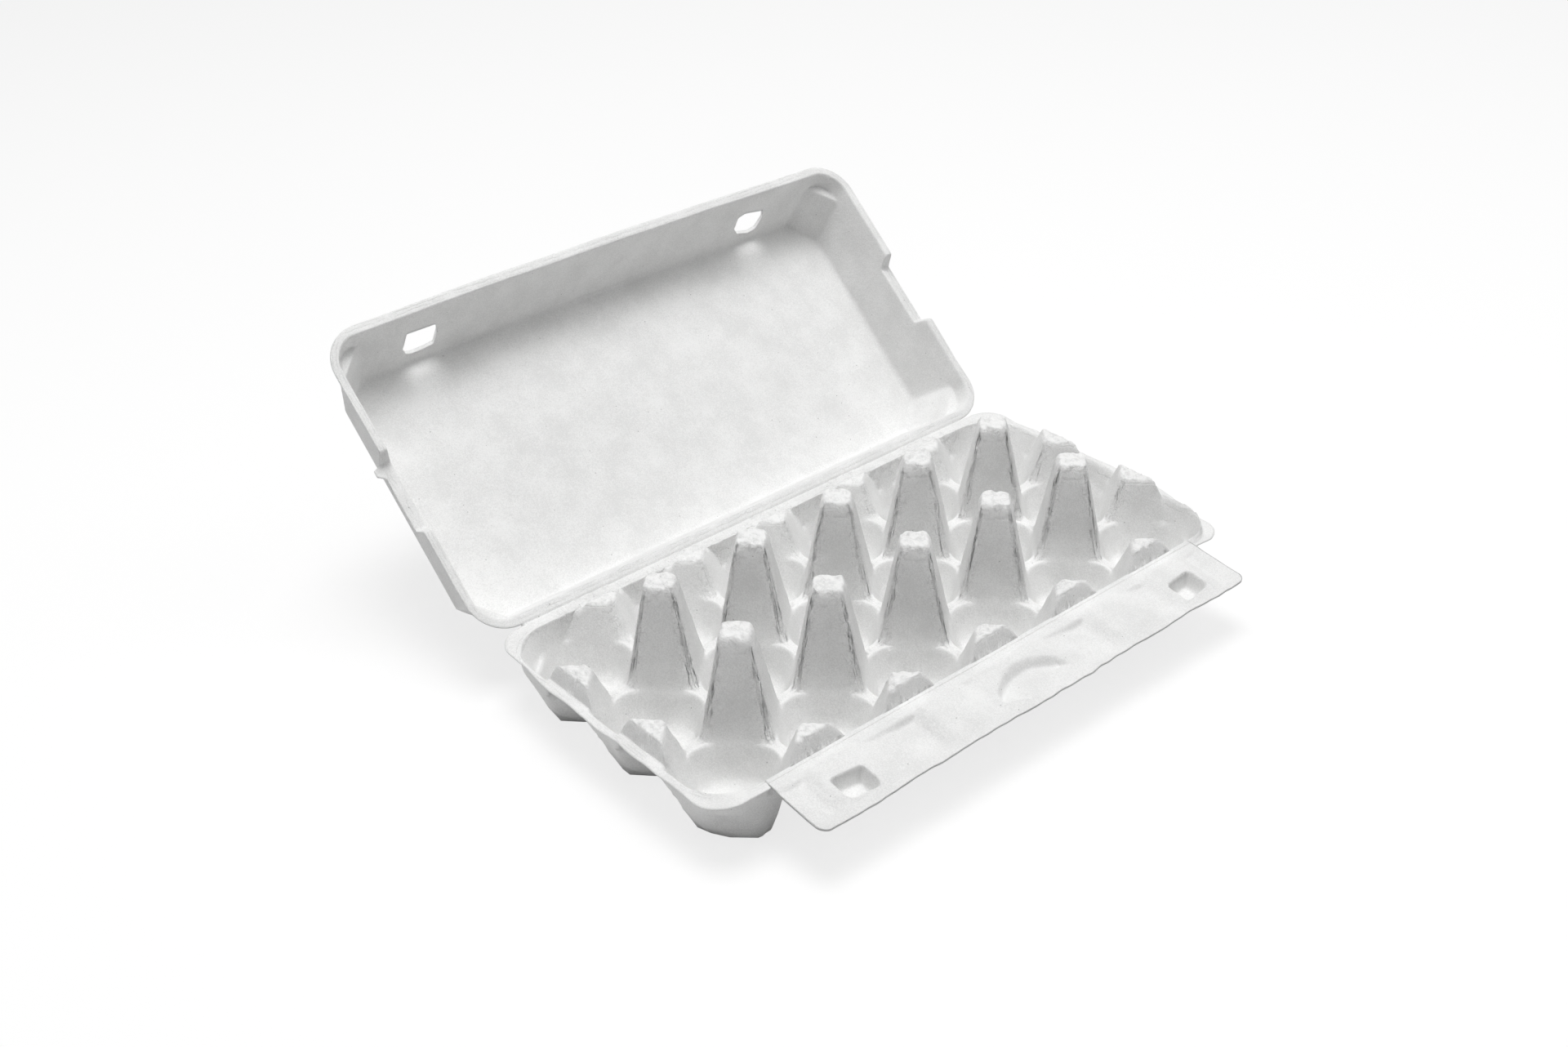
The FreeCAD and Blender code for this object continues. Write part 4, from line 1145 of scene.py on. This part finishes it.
def pulp_lines(tree, place):
    """The strongest of four kinds of line: on the arrises, on the caps, painted shade under a cap, and along
    a rim.
    """
    worn, cap, edge = mask(tree, "worn"), mask(tree, "cap"), mask(tree, "edge")
    long_ones = use(tree, wrinkle, {"Vector": place, "Width": 0.08, "Drawn out": (0.85, 0.85, 0.85)})
    long_ones = calc(tree, "MULTIPLY", long_ones, between(tree, worn, 0.0, 0.4))
    short_ones = use(tree, wrinkle, {"Vector": place, "Width": 0.12, "Drawn out": (0.7, 0.7, 1.0)})
    # A line of painted shade just under the edge of each cap, where it overhangs the face below.
    painted_shade_under_cap = use(tree, edge_line, {"Vector": place, "Mask": cap, "Level": 0.35, "Width": 0.2})
    short_ones = calc(tree, "MAXIMUM", calc(tree, "MULTIPLY", short_ones, cap), painted_shade_under_cap)
    outer = use(tree, edge_line, {"Vector": place, "Mask": edge, "Level": 0.42, "Width": 0.05})
    inner = use(tree, edge_line, {"Vector": place, "Mask": edge, "Level": 0.8, "Width": 0.05})
    along_rim = calc(tree, "MULTIPLY", calc(tree, "MAXIMUM", outer, inner), 0.9)
    return calc(tree, "MAXIMUM", calc(tree, "MAXIMUM", long_ones, short_ones), along_rim)


def pulp_colour(tree, place, lines):
    """Mottled white, lighter on the caps as a painted highlight, 0.2 of the line grey along the lines, 0.6 of
    the fleck grey at the flecks.
    """
    grain = calc(tree, "SUBTRACT", noise(tree, place, 0.6, 2.0, 0.7, 0.5), 0.5)
    mottle = calc(tree, "MULTIPLY_ADD", grain, 1.8, noise(tree, place, 16.0, 3.0, 0.55))
    # The mask cap lightens the post tops here: a painted highlight, added to the random mottle.
    mottle_and_cap_highlight = calc(tree, "ADD", between(tree, mottle, 0.2, 0.8), mask(tree, "cap"))
    colour = mixed(tree, mottle_and_cap_highlight, DULL_WHITE, CLEAR_WHITE)
    colour = mixed(tree, calc(tree, "MULTIPLY", lines, 0.2), colour, LINE_GREY)
    specks = calc(tree, "MULTIPLY", use(tree, flecks, {"Vector": place}), 0.6)
    return mixed(tree, specks, colour, FLECK_GREY)


def pulp_height(tree, place, lines):
    """The nap, plus a crumple on arrises and caps, less a groove under each line."""
    crumple = calc(tree, "SUBTRACT", noise(tree, place, 1.8, 3.0, 0.6, 0.8), 0.5)
    rough_here = calc(tree, "MAXIMUM", mask(tree, "worn"), mask(tree, "cap"))
    crumple = calc(tree, "MULTIPLY", calc(tree, "MULTIPLY", rough_here, crumple), 1.6)
    felt = calc(tree, "ADD", use(tree, nap, {"Vector": place}), crumple)
    return calc(tree, "MULTIPLY_ADD", lines, -0.36, felt)


print("white from", DULL_WHITE[0], "to", CLEAR_WHITE[0])


# %% The pulp's material
def pulp_material():
    """The pulp: a mottled rough white with a nap, wrinkles and flecks, in height and in colour."""
    made = bpy.data.materials.new("white pulp")
    made.use_nodes = True
    tree = made.node_tree
    tree.nodes.clear()
    place = tree.nodes.new("ShaderNodeTexCoord").outputs["Object"]
    lines = pulp_lines(tree, place)
    bumps = tree.nodes.new("ShaderNodeBump")
    bumps.inputs["Distance"].default_value = 0.5 * MM
    bumps.inputs["Strength"].default_value = 0.75
    tree.links.new(pulp_height(tree, place, lines), bumps.inputs["Height"])
    shader = tree.nodes.new("ShaderNodeBsdfPrincipled")
    shader.inputs["Roughness"].default_value = 0.92
    shader.inputs["Specular IOR Level"].default_value = 0.18
    tree.links.new(pulp_colour(tree, place, lines), shader.inputs["Base Color"])
    tree.links.new(bumps.outputs["Normal"], shader.inputs["Normal"])
    tree.links.new(shader.outputs["BSDF"], tree.nodes.new("ShaderNodeOutputMaterial").inputs["Surface"])
    return made


pulp = pulp_material()
for piece in (tray, lid, flap, lid_fold, flap_fold):
    piece.data.materials.append(pulp)
print("pulp on", [piece.name for piece in (tray, lid, flap, lid_fold, flap_fold)])

# %% [markdown]
# ## Floor and sky
#
# The carton stands on a wide pale floor under a plain white sky. More light could turn them white,
# but it would wash out the carton too. So the camera sees them whiter than they light the carton:
# the sky is full white to the camera and weak otherwise, and to the camera three quarters of the
# floor is an even glow and a quarter its own shading, which keeps the carton's shadow.


# %% What the camera sees by itself
def seen_share(tree):
    """Light Path's share of rays that come from the camera, a mirror or through glass."""
    path = tree.nodes.new("ShaderNodeLightPath").outputs
    seen = calc(tree, "MAXIMUM", path["Is Camera Ray"], path["Is Glossy Ray"])
    return calc(tree, "MAXIMUM", seen, path["Is Transmission Ray"])


def shader_mix(tree, factor, first, second, output):
    """Mixes two shader sockets and sends them to an output node of one kind."""
    blend = tree.nodes.new("ShaderNodeMixShader")
    tree.links.new(factor, blend.inputs["Fac"])
    tree.links.new(first, blend.inputs[1])
    tree.links.new(second, blend.inputs[2])
    tree.links.new(blend.outputs["Shader"], tree.nodes.new(output).inputs["Surface"])


print("helpers:", seen_share.__name__, "and", shader_mix.__name__)

# %% The floor
FLOOR_HALF = 4  # metres
floor_corners = [(x * FLOOR_HALF, y * FLOOR_HALF, 0) for x, y in ((-1, -1), (1, -1), (1, 1), (-1, 1))]
floor_mesh = bpy.data.meshes.new("floor")
floor_mesh.from_pydata(floor_corners, [], [(0, 1, 2, 3)])
floor = bpy.data.objects.new("floor", floor_mesh)
bpy.context.scene.collection.objects.link(floor)

floor_look = bpy.data.materials.new("pale floor")
floor_look.use_nodes = True
tree = floor_look.node_tree
tree.nodes.clear()
seen = seen_share(tree)
matt = tree.nodes.new("ShaderNodeBsdfDiffuse")
tree.links.new(mixed(tree, seen, (0.8, 0.8, 0.8, 1), (0.95, 0.95, 0.95, 1)), matt.inputs["Color"])
glow = tree.nodes.new("ShaderNodeEmission")
glow.inputs["Strength"].default_value = 1.02
glow_share = calc(tree, "MULTIPLY", seen, 0.75)
shader_mix(tree, glow_share, matt.outputs["BSDF"], glow.outputs["Emission"], "ShaderNodeOutputMaterial")
floor_mesh.materials.append(floor_look)
print("floor", 2 * FLOOR_HALF, "m wide")

# %% The sky
world = bpy.data.worlds.new("studio")
bpy.context.scene.world = world
world.use_nodes = True
tree = world.node_tree
tree.nodes.clear()
sky = tree.nodes.new("ShaderNodeBackground")
sky.inputs["Color"].default_value = (1, 1, 1, 1)
sky.inputs["Strength"].default_value = 0.14
white = tree.nodes.new("ShaderNodeBackground")
white.inputs["Color"].default_value = (1, 1, 1, 1)
dim, full = sky.outputs["Background"], white.outputs["Background"]
shader_mix(tree, seen_share(tree), dim, full, "ShaderNodeOutputWorld")
print("sky strength", round(sky.inputs["Strength"].default_value, 2))

# %% [markdown]
# ## Lamps
#
# White on white shows its form only by soft shade. One lamp would leave the steep sides either all
# lit or all dark. So a strong soft window hangs right above and lights what lies level, a weaker
# one stands at the front right for the steep faces there, and a faint low one at the left lifts the
# lid's and the cups' left ends.

# %% Three soft windows
AIM = Vector((0, 0, 0.03))


def lamp(name, at, size, power):
    """Square area lamp of a size in metres and a power in watts, turned towards the carton."""
    light = bpy.data.lights.new(name, "AREA")
    light.size = size
    light.energy = power
    obj = bpy.data.objects.new(name, light)
    obj.location = at
    obj.rotation_euler = (AIM - Vector(at)).to_track_quat("-Z", "Y").to_euler()
    bpy.context.scene.collection.objects.link(obj)
    print(name, power, "W")


lamp("front window", (0.9, -0.8, 1.3), 1.0, 5.5)
lamp("roof window", (-0.02, 0.02, 1.7), 0.9, 24.0)
lamp("left window", (-1.35, 0.3, 0.25), 0.8, 2.2)

# %% [markdown]
# ## Camera
#
# The camera stands at the front left and looks down into the open carton. Its axes come from three
# angles: how far it is turned about Z, how far it is raised, and how far it is tipped about its own
# line of sight. Written this way each angle can be read and changed by itself.

# %% The camera
TURN, RISE, ROLL = math.radians(-39.623), math.radians(31.48), math.radians(-2.065)
CAMERA_AT = (-0.45285, -0.53714, 0.46618)  # metres
LENS, SENSOR = 43.298, 36

back_axis = Vector((math.sin(TURN) * math.cos(RISE), -math.cos(TURN) * math.cos(RISE), math.sin(RISE)))
level_axis = Vector((math.cos(TURN), math.sin(TURN), 0))
up_axis = back_axis.cross(level_axis)
right_axis = math.cos(ROLL) * level_axis + math.sin(ROLL) * up_axis
top_axis = -math.sin(ROLL) * level_axis + math.cos(ROLL) * up_axis

lens = bpy.data.cameras.new("camera")
lens.lens = LENS
lens.sensor_width = SENSOR
camera = bpy.data.objects.new("camera", lens)
axes = zip(right_axis, top_axis, back_axis, CAMERA_AT)
camera.matrix_world = Matrix([*axes, (0, 0, 0, 1)])
bpy.context.scene.collection.objects.link(camera)
bpy.context.scene.camera = camera
bpy.context.scene.view_settings.view_transform = "Standard"
print("camera", round(Vector(CAMERA_AT).length, 2), "m from the carton's origin")
